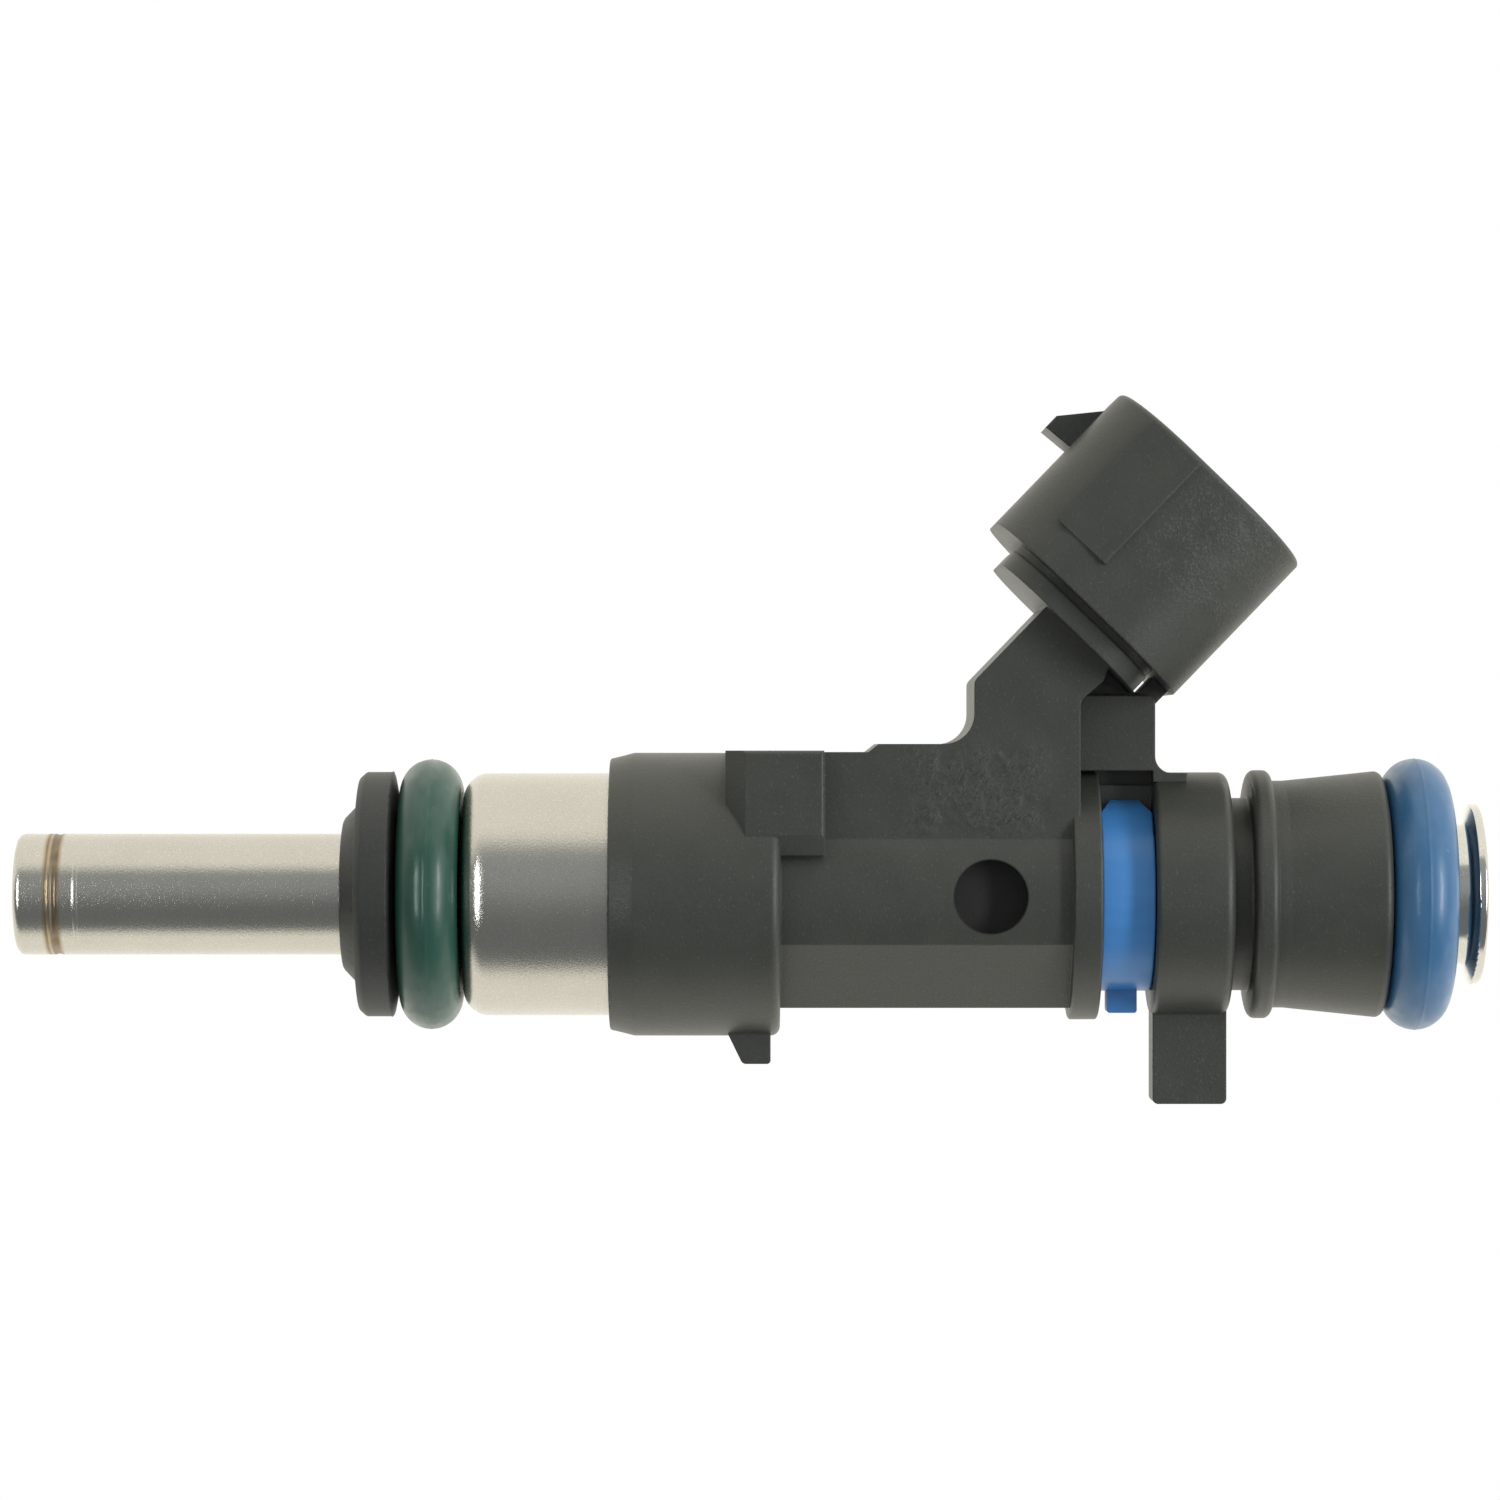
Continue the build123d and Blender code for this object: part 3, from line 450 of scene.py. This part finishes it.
@dataclass(frozen=True)
class TurnedSteel:
    """Metal drawn or turned round the injector's axis, with fine rings of grain and lighter specks of
    colour as painted glints.
    """

    name: str
    colour: Colour
    roughness: float = 0.28
    spread: float = 0.10
    grain_depth: float = 0.0022 * MM
    ring_pitch: float = 0.11 * MM
    heat: tuple[HeatBand, ...] = ()
    pit_depth: float = 0.010 * MM
    ridges: tuple[float, ...] = ()
    ring_length: float = 3.0 * MM
    pit_size: float = 0.10 * MM
    painted_glint_size: float = 0.08 * MM
    cloud_size: float = 3.5 * MM
    stain_size: float = 0.9 * MM
    ridge_half: float = 0.05 * MM
    ridge_soft: float = 0.12 * MM
    ridge_height: float = 0.03 * MM

    def material(self) -> bpy.types.Material:
        """Builds the material."""
        shader = Shader(self.name)
        rings = shader.grain((self.ring_length, self.ring_length, self.ring_pitch), 4.0, 0.6)
        pits = shader.grain(self.pit_size, 3.0, 0.6)
        cloud = shader.grain(self.cloud_size, 2.0)
        colour = shader.mix(cloud, shade(self.colour, 0.93), shade(self.colour, 1.05))
        colour = shader.mix(pits.clipped(0.60, 0.74) * 0.45, colour, shade(self.colour, 0.5))
        # Painted highlights: random specks are mixed lighter than the steel, to stand for glints.
        painted_glints = shader.grain(self.painted_glint_size, 2.0, 0.6).clipped(0.56, 0.70)
        colour = shader.mix(painted_glints * 0.5, colour, shade(self.colour, 1.5))
        rough = rings * self.spread + pits * self.spread + (self.roughness - self.spread)
        for band in self.heat:
            stain = shader.band("Z", band.low, band.high, band.soft)
            stain = stain * (shader.grain(self.stain_size, 3.0) * 0.9 + 0.5)
            colour = shader.mix(stain * band.strength, colour, band.colour)
            rough = rough + stain * 0.08
        normal = shader.relief(rings, self.grain_depth)
        normal = shader.relief(pits, self.pit_depth, normal)
        for ridge in self.ridges:
            low, high = ridge - self.ridge_half, ridge + self.ridge_half
            swell = shader.band("Z", low, high, self.ridge_soft)
            normal = shader.relief(swell, self.ridge_height, normal)
        return shader.finish(
            {"Metallic": 1.0},
            {"Base Color": colour, "Roughness": rough, "Normal": normal},
        )


@dataclass(frozen=True)
class SealRubber:
    """Moulded seal rubber, wiped with a little oil."""

    name: str
    colour: Colour
    bloom: Colour
    roughness: float = 0.40
    smear_size: tuple[float, float, float] = (1.6 * MM, 1.6 * MM, 0.7 * MM)
    skin_size: float = 0.22 * MM
    skin_depth: float = 0.006 * MM
    dust_size: float = 0.35 * MM

    def material(self) -> bpy.types.Material:
        """Builds the material."""
        shader = Shader(self.name)
        smear = shader.grain(self.smear_size, 4.0, 0.55, 0.6)
        skin = shader.grain(self.skin_size, 3.0, 0.55)
        dust = shader.grain(self.dust_size, 2.0, 0.5).clipped(0.70, 0.78)
        colour = shader.mix(smear, shade(self.colour, 0.88), shade(self.colour, 1.10))
        colour = shader.mix(dust * 0.25, colour, self.bloom)
        rough = smear * 0.22 + (self.roughness - 0.11) + dust * 0.1
        normal = shader.relief(skin, self.skin_depth)
        return shader.finish(
            {"IOR": 1.5, "Coat Roughness": 0.18, "Coat IOR": 1.45},
            {
                "Base Color": colour,
                "Roughness": rough,
                "Normal": normal,
                "Coat Weight": smear.clipped(0.35, 0.75) * 0.45,
            },
        )


@dataclass(frozen=True)
class SmoothAcetal:
    """Bright moulded acetal with a slight sheen and faint flow lines."""

    name: str
    colour: Colour
    roughness: float = 0.36
    flow_size: tuple[float, float, float] = (0.5 * MM, 2.5 * MM, 2.5 * MM)
    skin_size: float = 0.2 * MM
    skin_depth: float = 0.004 * MM

    def material(self) -> bpy.types.Material:
        """Builds the material."""
        shader = Shader(self.name)
        flow = shader.grain(self.flow_size, 3.0, 0.5, 0.4)
        skin = shader.grain(self.skin_size, 3.0)
        colour = shader.mix(flow, shade(self.colour, 0.90), shade(self.colour, 1.08))
        rough = flow * 0.14 + (self.roughness - 0.07)
        normal = shader.relief(skin, self.skin_depth)
        return shader.finish(
            {
                "Subsurface Weight": 0.08,
                "Subsurface Radius": (0.4, 0.6, 1.0),
                "Subsurface Scale": 0.3 * MM,
            },
            {"Base Color": colour, "Roughness": rough, "Normal": normal},
        )


@dataclass(frozen=True)
class WovenCloth:
    """Woven nylon filter cloth."""

    name: str
    colour: Colour
    thread_size: tuple[float, float, float] = (0.05 * MM, 0.05 * MM, 0.4 * MM)
    thread_depth: float = 0.006 * MM
    fleck_size: float = 0.6 * MM

    def material(self) -> bpy.types.Material:
        """Builds the material."""
        shader = Shader(self.name)
        threads = shader.grain(self.thread_size, 2.0)
        fleck = shader.grain(self.fleck_size, 3.0)
        colour = shader.mix(threads, shade(self.colour, 0.75), shade(self.colour, 1.1))
        return shader.finish(
            {"Sheen Weight": 0.2},
            {
                "Base Color": shader.mix(fleck * 0.3, colour, shade(self.colour, 0.6)),
                "Roughness": threads * 0.2 + 0.5,
                "Normal": shader.relief(threads, self.thread_depth),
            },
        )


TILT = radians(46.0)
ALONG = Vector((-sin(TILT), 0.0, cos(TILT)))
ACROSS = Vector((-cos(TILT), 0.0, -sin(TILT)))
SOCKET_ROOT = Vector((-15.46, 0.0, 35.09)) * MM


def beside_socket(along: float, across: float, aside: float) -> tuple[float, float, float]:
    """A point given in the tilted connector's own axes, in millimetres."""
    spot = SOCKET_ROOT + ALONG * along * MM + ACROSS * across * MM
    return (spot.x, aside * MM, spot.z)


WELD_Z = -20.0 * MM
SPUN_RIDGE_Z = -18.85 * MM
# The side hole's inside gets painted shade.
SIDE_HOLE = BlindHole(centre=(0.0, 0.0, 29.8 * MM), radius=1.95 * MM, floor=-3.0 * MM)

HOUSING_NYLON = MouldedNylon(
    "black_nylon",
    (0.042, 0.0455, 0.039),
    (0.11, 0.115, 0.105),
    patches=(
        # Web patch: its crumple's specks are painted darker, as painted shade in the creases.
        RoughPatch(
            (-5.7 * MM, 0.0, 29.0 * MM),
            (2.3 * MM, 9 * MM, 3.6 * MM),
            depth=0.15 * MM,
            size=(0.24 * MM, 0.24 * MM, 0.55 * MM),
            lay=(0.0, radians(-45.0), 0.0),
            tone=0.55,
            strength=0.8,
        ),
        # Shroud patch: its crumple's specks are painted lighter, as painted sparkle.
        RoughPatch(
            beside_socket(6.2, -2.6, 0.0),
            (3.0 * MM, 12 * MM, 3.2 * MM),
            (0.0, TILT, 0.0),
            depth=0.05 * MM,
            size=0.17 * MM,
            tone=2.4,
            strength=0.5,
        ),
    ),
    holes=(SIDE_HOLE,),
)

FINISHES = {
    "black_nylon": HOUSING_NYLON,
    "black_washer_nylon": MouldedNylon(
        "black_washer_nylon", (0.026, 0.029, 0.027), (0.08, 0.085, 0.08), 0.5
    ),
    "blue_acetal": SmoothAcetal("blue_acetal", (0.065, 0.27, 0.68)),
    "green_rubber": SealRubber("green_rubber", (0.015, 0.074, 0.054), (0.10, 0.17, 0.14)),
    "blue_rubber": SealRubber("blue_rubber", (0.038, 0.140, 0.300), (0.2, 0.3, 0.42)),
    "can_steel": TurnedSteel("can_steel", (0.49, 0.475, 0.43), 0.26, 0.08),
    "nozzle_steel": TurnedSteel(
        "nozzle_steel",
        (0.49, 0.475, 0.43),
        0.26,
        0.08,
        heat=(
            HeatBand(WELD_Z - 0.50 * MM, WELD_Z + 0.25 * MM, (0.36, 0.27, 0.15), 0.18 * MM, 0.75),
            HeatBand(WELD_Z - 0.15 * MM, WELD_Z + 0.15 * MM, (0.16, 0.125, 0.09), 0.14 * MM, 0.8),
            HeatBand(WELD_Z - 0.45 * MM, WELD_Z - 0.40 * MM, (0.16, 0.11, 0.06), 0.08 * MM, 0.6),
        ),
        ridges=(SPUN_RIDGE_Z, WELD_Z - 0.25 * MM),
    ),
    "inlet_steel": TurnedSteel("inlet_steel", (0.56, 0.55, 0.51), 0.16, 0.06, pit_depth=0.002 * MM),
    "sleeve_steel": TurnedSteel("sleeve_steel", (0.62, 0.61, 0.58), 0.30),
    "core_iron": TurnedSteel("core_iron", (0.45, 0.44, 0.42), 0.36),
    "armature_iron": TurnedSteel("armature_iron", (0.50, 0.49, 0.47), 0.30),
    "needle_steel": TurnedSteel("needle_steel", (0.62, 0.61, 0.59), 0.24),
    "ball_steel": TurnedSteel(
        "ball_steel", (0.76, 0.76, 0.75), 0.10, 0.03, 0.0004 * MM, pit_depth=0.0003 * MM
    ),
    "seat_steel": TurnedSteel("seat_steel", (0.60, 0.59, 0.56), 0.24),
    "spray_steel": TurnedSteel("spray_steel", (0.60, 0.59, 0.56), 0.32),
    "brass_tube": TurnedSteel("brass_tube", (0.72, 0.50, 0.22), 0.28),
    "spring_steel": TurnedSteel("spring_steel", (0.48, 0.48, 0.47), 0.30),
    "bobbin_nylon": MouldedNylon("bobbin_nylon", (0.07, 0.07, 0.068), (0.2, 0.2, 0.19), 0.5),
    "copper_wire": TurnedSteel("copper_wire", (0.62, 0.23, 0.09), 0.26, 0.08),
    "tinned_terminal": TurnedSteel("tinned_terminal", (0.74, 0.74, 0.72), 0.30),
    "filter_brass": TurnedSteel("filter_brass", (0.76, 0.57, 0.28), 0.26),
    "filter_nylon": MouldedNylon("filter_nylon", (0.62, 0.57, 0.45), (0.8, 0.77, 0.68), 0.45),
    "filter_cloth": WovenCloth("filter_cloth", (0.72, 0.69, 0.60)),
}


class Wardrobe:
    """Makes each finish once and puts it on CAD nodes and new pieces."""

    def __init__(self) -> None:
        """Starts with nothing made."""
        self.made: dict[str, bpy.types.Material] = {}

    def material(self, slot: str) -> bpy.types.Material:
        """The material of one of the record's slots."""
        if slot not in self.made:
            self.made[slot] = FINISHES[slot].material()
        return self.made[slot]

    def dress(self, piece: bpy.types.Object, slot: str) -> None:
        """Gives a piece one finish all over."""
        if piece.material_slots:
            for place in piece.material_slots:
                place.material = self.material(slot)
        else:
            piece.data.materials.append(self.material(slot))


# ---------------------------------------------------------------- modelling steps


def deselect() -> None:
    """Leaves nothing selected."""
    bpy.ops.object.select_all(action="DESELECT")


def activate(piece: bpy.types.Object) -> None:
    """Selects one piece alone and makes it the active one."""
    deselect()
    piece.select_set(True)
    bpy.context.view_layer.objects.active = piece


def select_points(piece: bpy.types.Object, chosen: Iterable[int]) -> None:
    """Selects some of the active piece's vertices in edit mode, by their numbers."""
    bpy.ops.mesh.select_all(action="DESELECT")
    bpy.ops.mesh.select_mode(type="VERT")
    bpy.ops.object.mode_set(mode="OBJECT")
    for index in chosen:
        piece.data.vertices[index].select = True
    bpy.ops.object.mode_set(mode="EDIT")


def settle(piece: bpy.types.Object, name: str, smooth_angle: float) -> bpy.types.Object:
    """Leaves edit mode, closes seams, turns faces outwards and names the piece.

    Args:
        piece: the piece in edit mode.
        name: its name.
        smooth_angle: edges flatter than this are shaded smooth, in radians.

    Returns:
        The piece.
    """
    bpy.ops.mesh.select_all(action="SELECT")
    bpy.ops.mesh.remove_doubles(threshold=MERGE_REACH)
    bpy.ops.mesh.normals_make_consistent(inside=False)
    bpy.ops.object.mode_set(mode="OBJECT")
    bpy.ops.object.transform_apply(location=True, rotation=True, scale=True)
    bpy.ops.object.shade_smooth_by_angle(angle=smooth_angle)
    piece.name = name
    piece.data.name = name
    return piece


def turned_piece(
    name: str, profile: list[tuple[float, float]], segments: int, smooth_angle: float
) -> bpy.types.Object:
    """Turns a closed profile round the injector's axis.

    Args:
        name: the piece's name.
        profile: radius and height of each corner, in metres, in order round the section.
        segments: how many faces go round.
        smooth_angle: edges flatter than this are shaded smooth, in radians.

    Returns:
        The piece.
    """
    deselect()
    radius, height = profile[0]
    bpy.ops.mesh.primitive_circle_add(
        vertices=segments, radius=radius, fill_type="NOTHING", location=(0, 0, height)
    )
    piece = bpy.context.active_object
    bpy.ops.object.transform_apply(location=True, rotation=True, scale=True)
    bpy.ops.object.mode_set(mode="EDIT")
    bpy.ops.mesh.select_all(action="SELECT")
    for next_radius, next_height in profile[1:] + profile[:1]:
        rise = next_height - height
        bpy.ops.mesh.extrude_region_move(TRANSFORM_OT_translate={"value": (0, 0, rise)})
        factor = next_radius / radius
        bpy.ops.transform.resize(value=(factor, factor, 1), center_override=(0, 0, next_height))
        radius, height = next_radius, next_height
    return settle(piece, name, smooth_angle)


# ---------------------------------------------------------------- detailed pieces


@dataclass
class SealRing:
    """An O-ring with the fine ridge that its mould's halves leave round its outside."""

    node: str
    name: str
    slot: str
    ridge_width: float = 0.10 * MM
    ridge_height: float = 0.022 * MM
    around: int = 192
    across: int = 56
    nearly: float = 0.002 * MM

    def build(self, wardrobe: Wardrobe) -> bpy.types.Object:
        """Models, dresses and places the ring.

        Args:
            wardrobe: where its finish comes from.

        Returns:
            The ring.
        """
        low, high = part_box(self.node)
        section = (high.z - low.z) / 2
        middle = (high.z + low.z) / 2
        reach = (high.x - low.x) / 2
        deselect()
        bpy.ops.mesh.primitive_torus_add(
            major_radius=reach - section,
            minor_radius=section,
            major_segments=self.around,
            minor_segments=self.across,
            location=(0, 0, middle),
        )
        ring = bpy.context.active_object
        bpy.ops.object.transform_apply(location=True, rotation=True, scale=True)
        bpy.ops.object.mode_set(mode="EDIT")
        self._raise_ridge(ring, reach, middle)
        settle(ring, self.name, radians(50))
        wardrobe.dress(ring, self.slot)
        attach(ring, Body.INJECTOR.value)
        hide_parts(self.node)
        return ring

    def _raise_ridge(self, ring: bpy.types.Object, reach: float, middle: float) -> None:
        """Splits the outermost loop in three and lifts its middle.

        Args:
            ring: the torus, in edit mode.
            reach: its outer radius.
            middle: its height.
        """
        outer = [
            v.index
            for v in ring.data.vertices
            if Vector((v.co.x, v.co.y)).length > reach - self.nearly
        ]
        select_points(ring, outer)
        bpy.ops.mesh.bevel(offset=self.ridge_width / 2, segments=2, affect="EDGES")
        bpy.ops.object.mode_set(mode="OBJECT")
        crest = [
            v.index
            for v in ring.data.vertices
            if abs(v.co.z - middle) < self.nearly
            and Vector((v.co.x, v.co.y)).length > reach - self.ridge_width
        ]
        bpy.ops.object.mode_set(mode="EDIT")
        select_points(ring, crest)
        factor = 1 + self.ridge_height / reach
        bpy.ops.transform.resize(value=(factor, factor, 1), center_override=(0, 0, middle))


@dataclass
class BackupWasher:
    """The moulded washer below the lower seal, with ragged flash on its hub and rim."""

    node: str = "support_washer"
    name: str = "backup_washer"
    slot: str = "black_washer_nylon"
    flash: float = 0.05 * MM
    flash_seed: int = 7
    segments: int = 224
    hub_width: float = 1.4 * MM
    hub_height: float = 0.82 * MM
    rim_setback: float = 0.38 * MM
    nearly: float = 0.01 * MM

    def profile(self) -> list[tuple[float, float]]:
        """The washer's section: radius and height of each corner, in metres."""
        low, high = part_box(self.node)
        rim = high.x
        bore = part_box("valve_sleeve")[1].x
        hub = bore + self.hub_width
        return [
            (bore, low.z),
            (bore + 0.35 * MM, low.z),
            (bore + 0.52 * MM, low.z + 0.03 * MM),
            (bore + 0.65 * MM, low.z + 0.10 * MM),
            (hub - 0.1 * MM, low.z + 0.72 * MM),
            (hub, low.z + self.hub_height),
            (hub + 0.08 * MM, low.z + 0.87 * MM),
            (rim - 0.36 * MM, low.z + 0.91 * MM),
            (rim - 0.30 * MM, low.z + 0.94 * MM),
            (rim - 0.05 * MM, low.z + 1.22 * MM),
            (rim, low.z + 1.32 * MM),
            (rim, low.z + 1.40 * MM),
            (rim, high.z - 0.46 * MM),
            (rim, high.z - self.rim_setback),
            (rim - 0.08 * MM, high.z - 0.33 * MM),
            (hub, high.z),
            (bore + 0.1 * MM, high.z),
            (bore, high.z - 0.1 * MM),
        ]

    def build(self, wardrobe: Wardrobe) -> bpy.types.Object:
        """Models, dresses and places the washer.

        Args:
            wardrobe: where its finish comes from.

        Returns:
            The washer.
        """
        washer = turned_piece(self.name, self.profile(), self.segments, radians(32))
        self._roughen(washer)
        wardrobe.dress(washer, self.slot)
        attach(washer, Body.INJECTOR.value)
        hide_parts(self.node)
        return washer

    def _roughen(self, washer: bpy.types.Object) -> None:
        """Moves the points of the hub's and the rim's edges a little, as flash does."""
        low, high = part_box(self.node)
        edges = [
            v.index
            for v in washer.data.vertices
            if abs(v.co.z - low.z - self.hub_height) < self.nearly
            or abs(v.co.z - high.z + self.rim_setback) < self.nearly
        ]
        activate(washer)
        bpy.ops.object.mode_set(mode="EDIT")
        select_points(washer, edges)
        bpy.ops.transform.vertex_random(
            offset=self.flash, uniform=0.0, normal=0.0, seed=self.flash_seed
        )
        bpy.ops.object.mode_set(mode="OBJECT")


@dataclass
class FilterScreen:
    """The filter's woven sleeve, as an open screen of crossing threads."""

    node: str = "filter_mesh"
    name: str = "filter_screen"
    slot: str = "filter_cloth"
    around: int = 36
    rows: int = 84
    thread: float = 0.09 * MM

    def build(self, wardrobe: Wardrobe) -> bpy.types.Object:
        """Models, dresses and places the screen.

        Args:
            wardrobe: where its finish comes from.

        Returns:
            The screen.
        """
        low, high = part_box(self.node)
        radius = high.x - self.thread
        foot = (0, 0, low.z + self.thread)
        deselect()
        bpy.ops.mesh.primitive_circle_add(
            vertices=self.around, radius=radius, fill_type="NOTHING", location=foot
        )
        screen = bpy.context.active_object
        bpy.ops.object.transform_apply(location=True, rotation=True, scale=True)
        bpy.ops.object.mode_set(mode="EDIT")
        bpy.ops.mesh.select_all(action="SELECT")
        rise = (high.z - low.z - 2 * self.thread) / self.rows
        for _ in range(self.rows):
            bpy.ops.mesh.extrude_region_move(TRANSFORM_OT_translate={"value": (0, 0, rise)})
        bpy.ops.object.mode_set(mode="OBJECT")
        wires = screen.modifiers.new("threads", "WIREFRAME")
        wires.thickness = self.thread
        wires.use_boundary = True
        wires.use_even_offset = False
        activate(screen)
        bpy.ops.object.modifier_apply(modifier=wires.name)
        bpy.ops.object.mode_set(mode="EDIT")
        settle(screen, self.name, radians(40))
        wardrobe.dress(screen, self.slot)
        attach(screen, Body.INJECTOR.value)
        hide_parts(self.node)
        return screen


# ---------------------------------------------------------------- studio


@dataclass(frozen=True)
class Lamp:
    """A rectangular soft lamp."""

    name: str
    place: tuple[float, float, float]
    size: tuple[float, float]
    watts: float
    colour: Colour = (1.0, 1.0, 1.0)


@dataclass
class Studio:
    """A white floor and surround, soft lamps, and the camera."""

    focal_length: float = 127.6
    sensor: float = 36.0
    camera_place: tuple[float, float, float] = (-0.00775, -0.286, 0.0171)
    lamps: tuple[Lamp, ...] = (
        Lamp("lamp_nozzle_side", (-0.045, -0.496, -0.318), (0.42, 0.10), 2.4),
        Lamp("lamp_inlet_side", (-0.045, -0.385, 0.475), (0.42, 0.10), 2.0),
    )
    floor_drop: float = 0.05 * MM
    floor_radius: float = 1.5
    floor_sides: int = 96
    floor_colour: Colour = (0.45, 0.45, 0.44)
    floor_roughness: float = 0.9
    opening_turn: float = 12.0
    opening_half: float = 62.0
    opening_soft: float = 0.035
    opening_low: float = 0.24
    opening_top: float = 0.48
    opening_colour: Colour = (0.93, 0.98, 1.0)
    opening_heights: tuple[float, float] = (0.45, -0.35)
    tent_level: float = 1.32
    tent_colour: Colour = (1.0, 0.97, 0.885)
    near_clip: float = 0.01

    def build(self) -> None:
        """Sets up the floor, the surround, the lamps and the camera."""
        self._floor()
        self._surround()
        for lamp in self.lamps:
            self._lamp(lamp)
        self._camera()
        bpy.context.scene.view_settings.view_transform = "Standard"

    def _floor(self) -> None:
        """A floor under the nozzle's tip: white from above, clear from below, dull to what it lights."""
        deselect()
        bpy.ops.mesh.primitive_circle_add(
            vertices=self.floor_sides,
            radius=self.floor_radius,
            fill_type="NGON",
            location=(0, 0, CAD_BOX[0][2] - self.floor_drop),
        )
        floor = bpy.context.active_object
        bpy.ops.object.transform_apply(location=True, rotation=True, scale=True)
        floor.name = "floor"
        shader = Shader("floor_paint")
        seen = shader.node("ShaderNodeLightPath", output="Is Camera Ray")
        glow = shader.node("ShaderNodeEmission", None, {"Color": (1, 1, 1, 1), "Strength": 1.0})
        paint = Signal(shader, shader.surface.outputs[0])
        shader.surface.inputs["Base Color"].default_value = (*self.floor_colour, 1.0)
        shader.surface.inputs["Roughness"].default_value = self.floor_roughness
        top = shader.node("ShaderNodeMixShader", None, {0: seen, 1: paint, 2: glow})
        under = shader.node("ShaderNodeNewGeometry", output="Backfacing")
        clear = shader.node("ShaderNodeBsdfTransparent")
        both = shader.node("ShaderNodeMixShader", None, {0: under, 1: top, 2: clear})
        shader.tree.links.new(both.socket, shader.tree.nodes["Material Output"].inputs["Surface"])
        floor.data.materials.append(shader.material)
        floor.visible_glossy = False

    def _surround(self) -> None:
        """White to the eye. To reflections it is a white tent, open and dim towards the camera."""
        world = bpy.data.worlds.new("surround")
        bpy.context.scene.world = world
        world.use_nodes = True
        shader = NodeWriter(world.node_tree)
        shader.tree.nodes.clear()
        direction = shader.node("ShaderNodeTexCoord", output="Generated")
        across = shader.node(
            "ShaderNodeVectorMath", {"operation": "MULTIPLY"}, {0: direction, 1: (1.0, 1.0, 0.0)}
        )
        heading = shader.node("ShaderNodeVectorMath", {"operation": "NORMALIZE"}, {0: across})
        turn = radians(self.opening_turn)
        facing = shader.node(
            "ShaderNodeVectorMath",
            {"operation": "DOT_PRODUCT"},
            {0: heading, 1: (sin(turn), -cos(turn), 0.0)},
            "Value",
        )
        edge = cos(radians(self.opening_half))
        opening = facing.clipped(edge - self.opening_soft, edge + self.opening_soft)
        height = shader.node("ShaderNodeSeparateXYZ", None, {0: direction}, "X")
        upper = height.clipped(*self.opening_heights)
        dim = upper * (self.opening_top - self.opening_low) + self.opening_low
        level = opening * dim + (1.0 - opening) * self.tent_level
        colour = shader.mix(opening, self.tent_colour, self.opening_colour)
        room = shader.node("ShaderNodeBackground", None, {"Color": colour, "Strength": level})
        eye = shader.node("ShaderNodeBackground", None, {"Color": (1, 1, 1, 1), "Strength": 1.0})
        seen = shader.node("ShaderNodeLightPath", output="Is Camera Ray")
        both = shader.node("ShaderNodeMixShader", None, {0: seen, 1: room, 2: eye})
        output = shader.tree.nodes.new("ShaderNodeOutputWorld")
        shader.tree.links.new(both.socket, output.inputs["Surface"])

    def _lamp(self, lamp: Lamp) -> None:
        """Adds one soft lamp, aimed at the injector's middle."""
        data = bpy.data.lights.new(lamp.name, "AREA")
        data.shape = "RECTANGLE"
        data.size, data.size_y = lamp.size
        data.energy = lamp.watts
        data.color = lamp.colour
        holder = bpy.data.objects.new(lamp.name, data)
        bpy.context.scene.collection.objects.link(holder)
        holder.location = lamp.place
        aim = Vector((0.0, 0.0, self.camera_place[2])) - Vector(lamp.place)
        holder.rotation_euler = aim.to_track_quat("-Z", "Y").to_euler()

    def _camera(self) -> None:
        """A level camera beside the injector, which lies across its view with the inlet at the right."""
        data = bpy.data.cameras.new("camera")
        data.lens = self.focal_length
        data.sensor_width = self.sensor
        data.clip_start = self.near_clip
        camera = bpy.data.objects.new("camera", data)
        bpy.context.scene.collection.objects.link(camera)
        right, up, back = Vector((0, 0, 1)), Vector((-1, 0, 0)), Vector((0, -1, 0))
        turn = Matrix((right, up, back)).transposed()
        camera.rotation_euler = turn.to_euler()
        camera.location = self.camera_place
        bpy.context.scene.camera = camera


# ---------------------------------------------------------------- the whole


@dataclass
class Injector:
    """All pieces of the injector: CAD nodes with their finishes, and detailed pieces."""

    wardrobe: Wardrobe = field(default_factory=Wardrobe)

    def dress_frame(self) -> None:
        """Gives each CAD node the finish of its slot in the record."""
        for row in frame["record"]["subparts"]:
            self.wardrobe.dress(frame["nodes"][row["node"]], row["material_slot"])

    def build(self) -> None:
        """Dresses the CAD nodes and builds the detailed pieces."""
        self.dress_frame()
        makers = (
            SealRing("lower_o_ring", "green_seal", "green_rubber"),
            SealRing("upper_o_ring", "blue_seal", "blue_rubber"),
            BackupWasher(),
            FilterScreen(),
        )
        for maker in makers:
            piece = maker.build(self.wardrobe)
            LOG.info("%s: %d faces", piece.name, len(piece.data.polygons))


def main() -> None:
    """Builds the injector and its studio."""
    logging.basicConfig(level=logging.INFO, format="%(message)s")
    Injector().build()
    Studio().build()


if __name__ == "__main__":
    main()
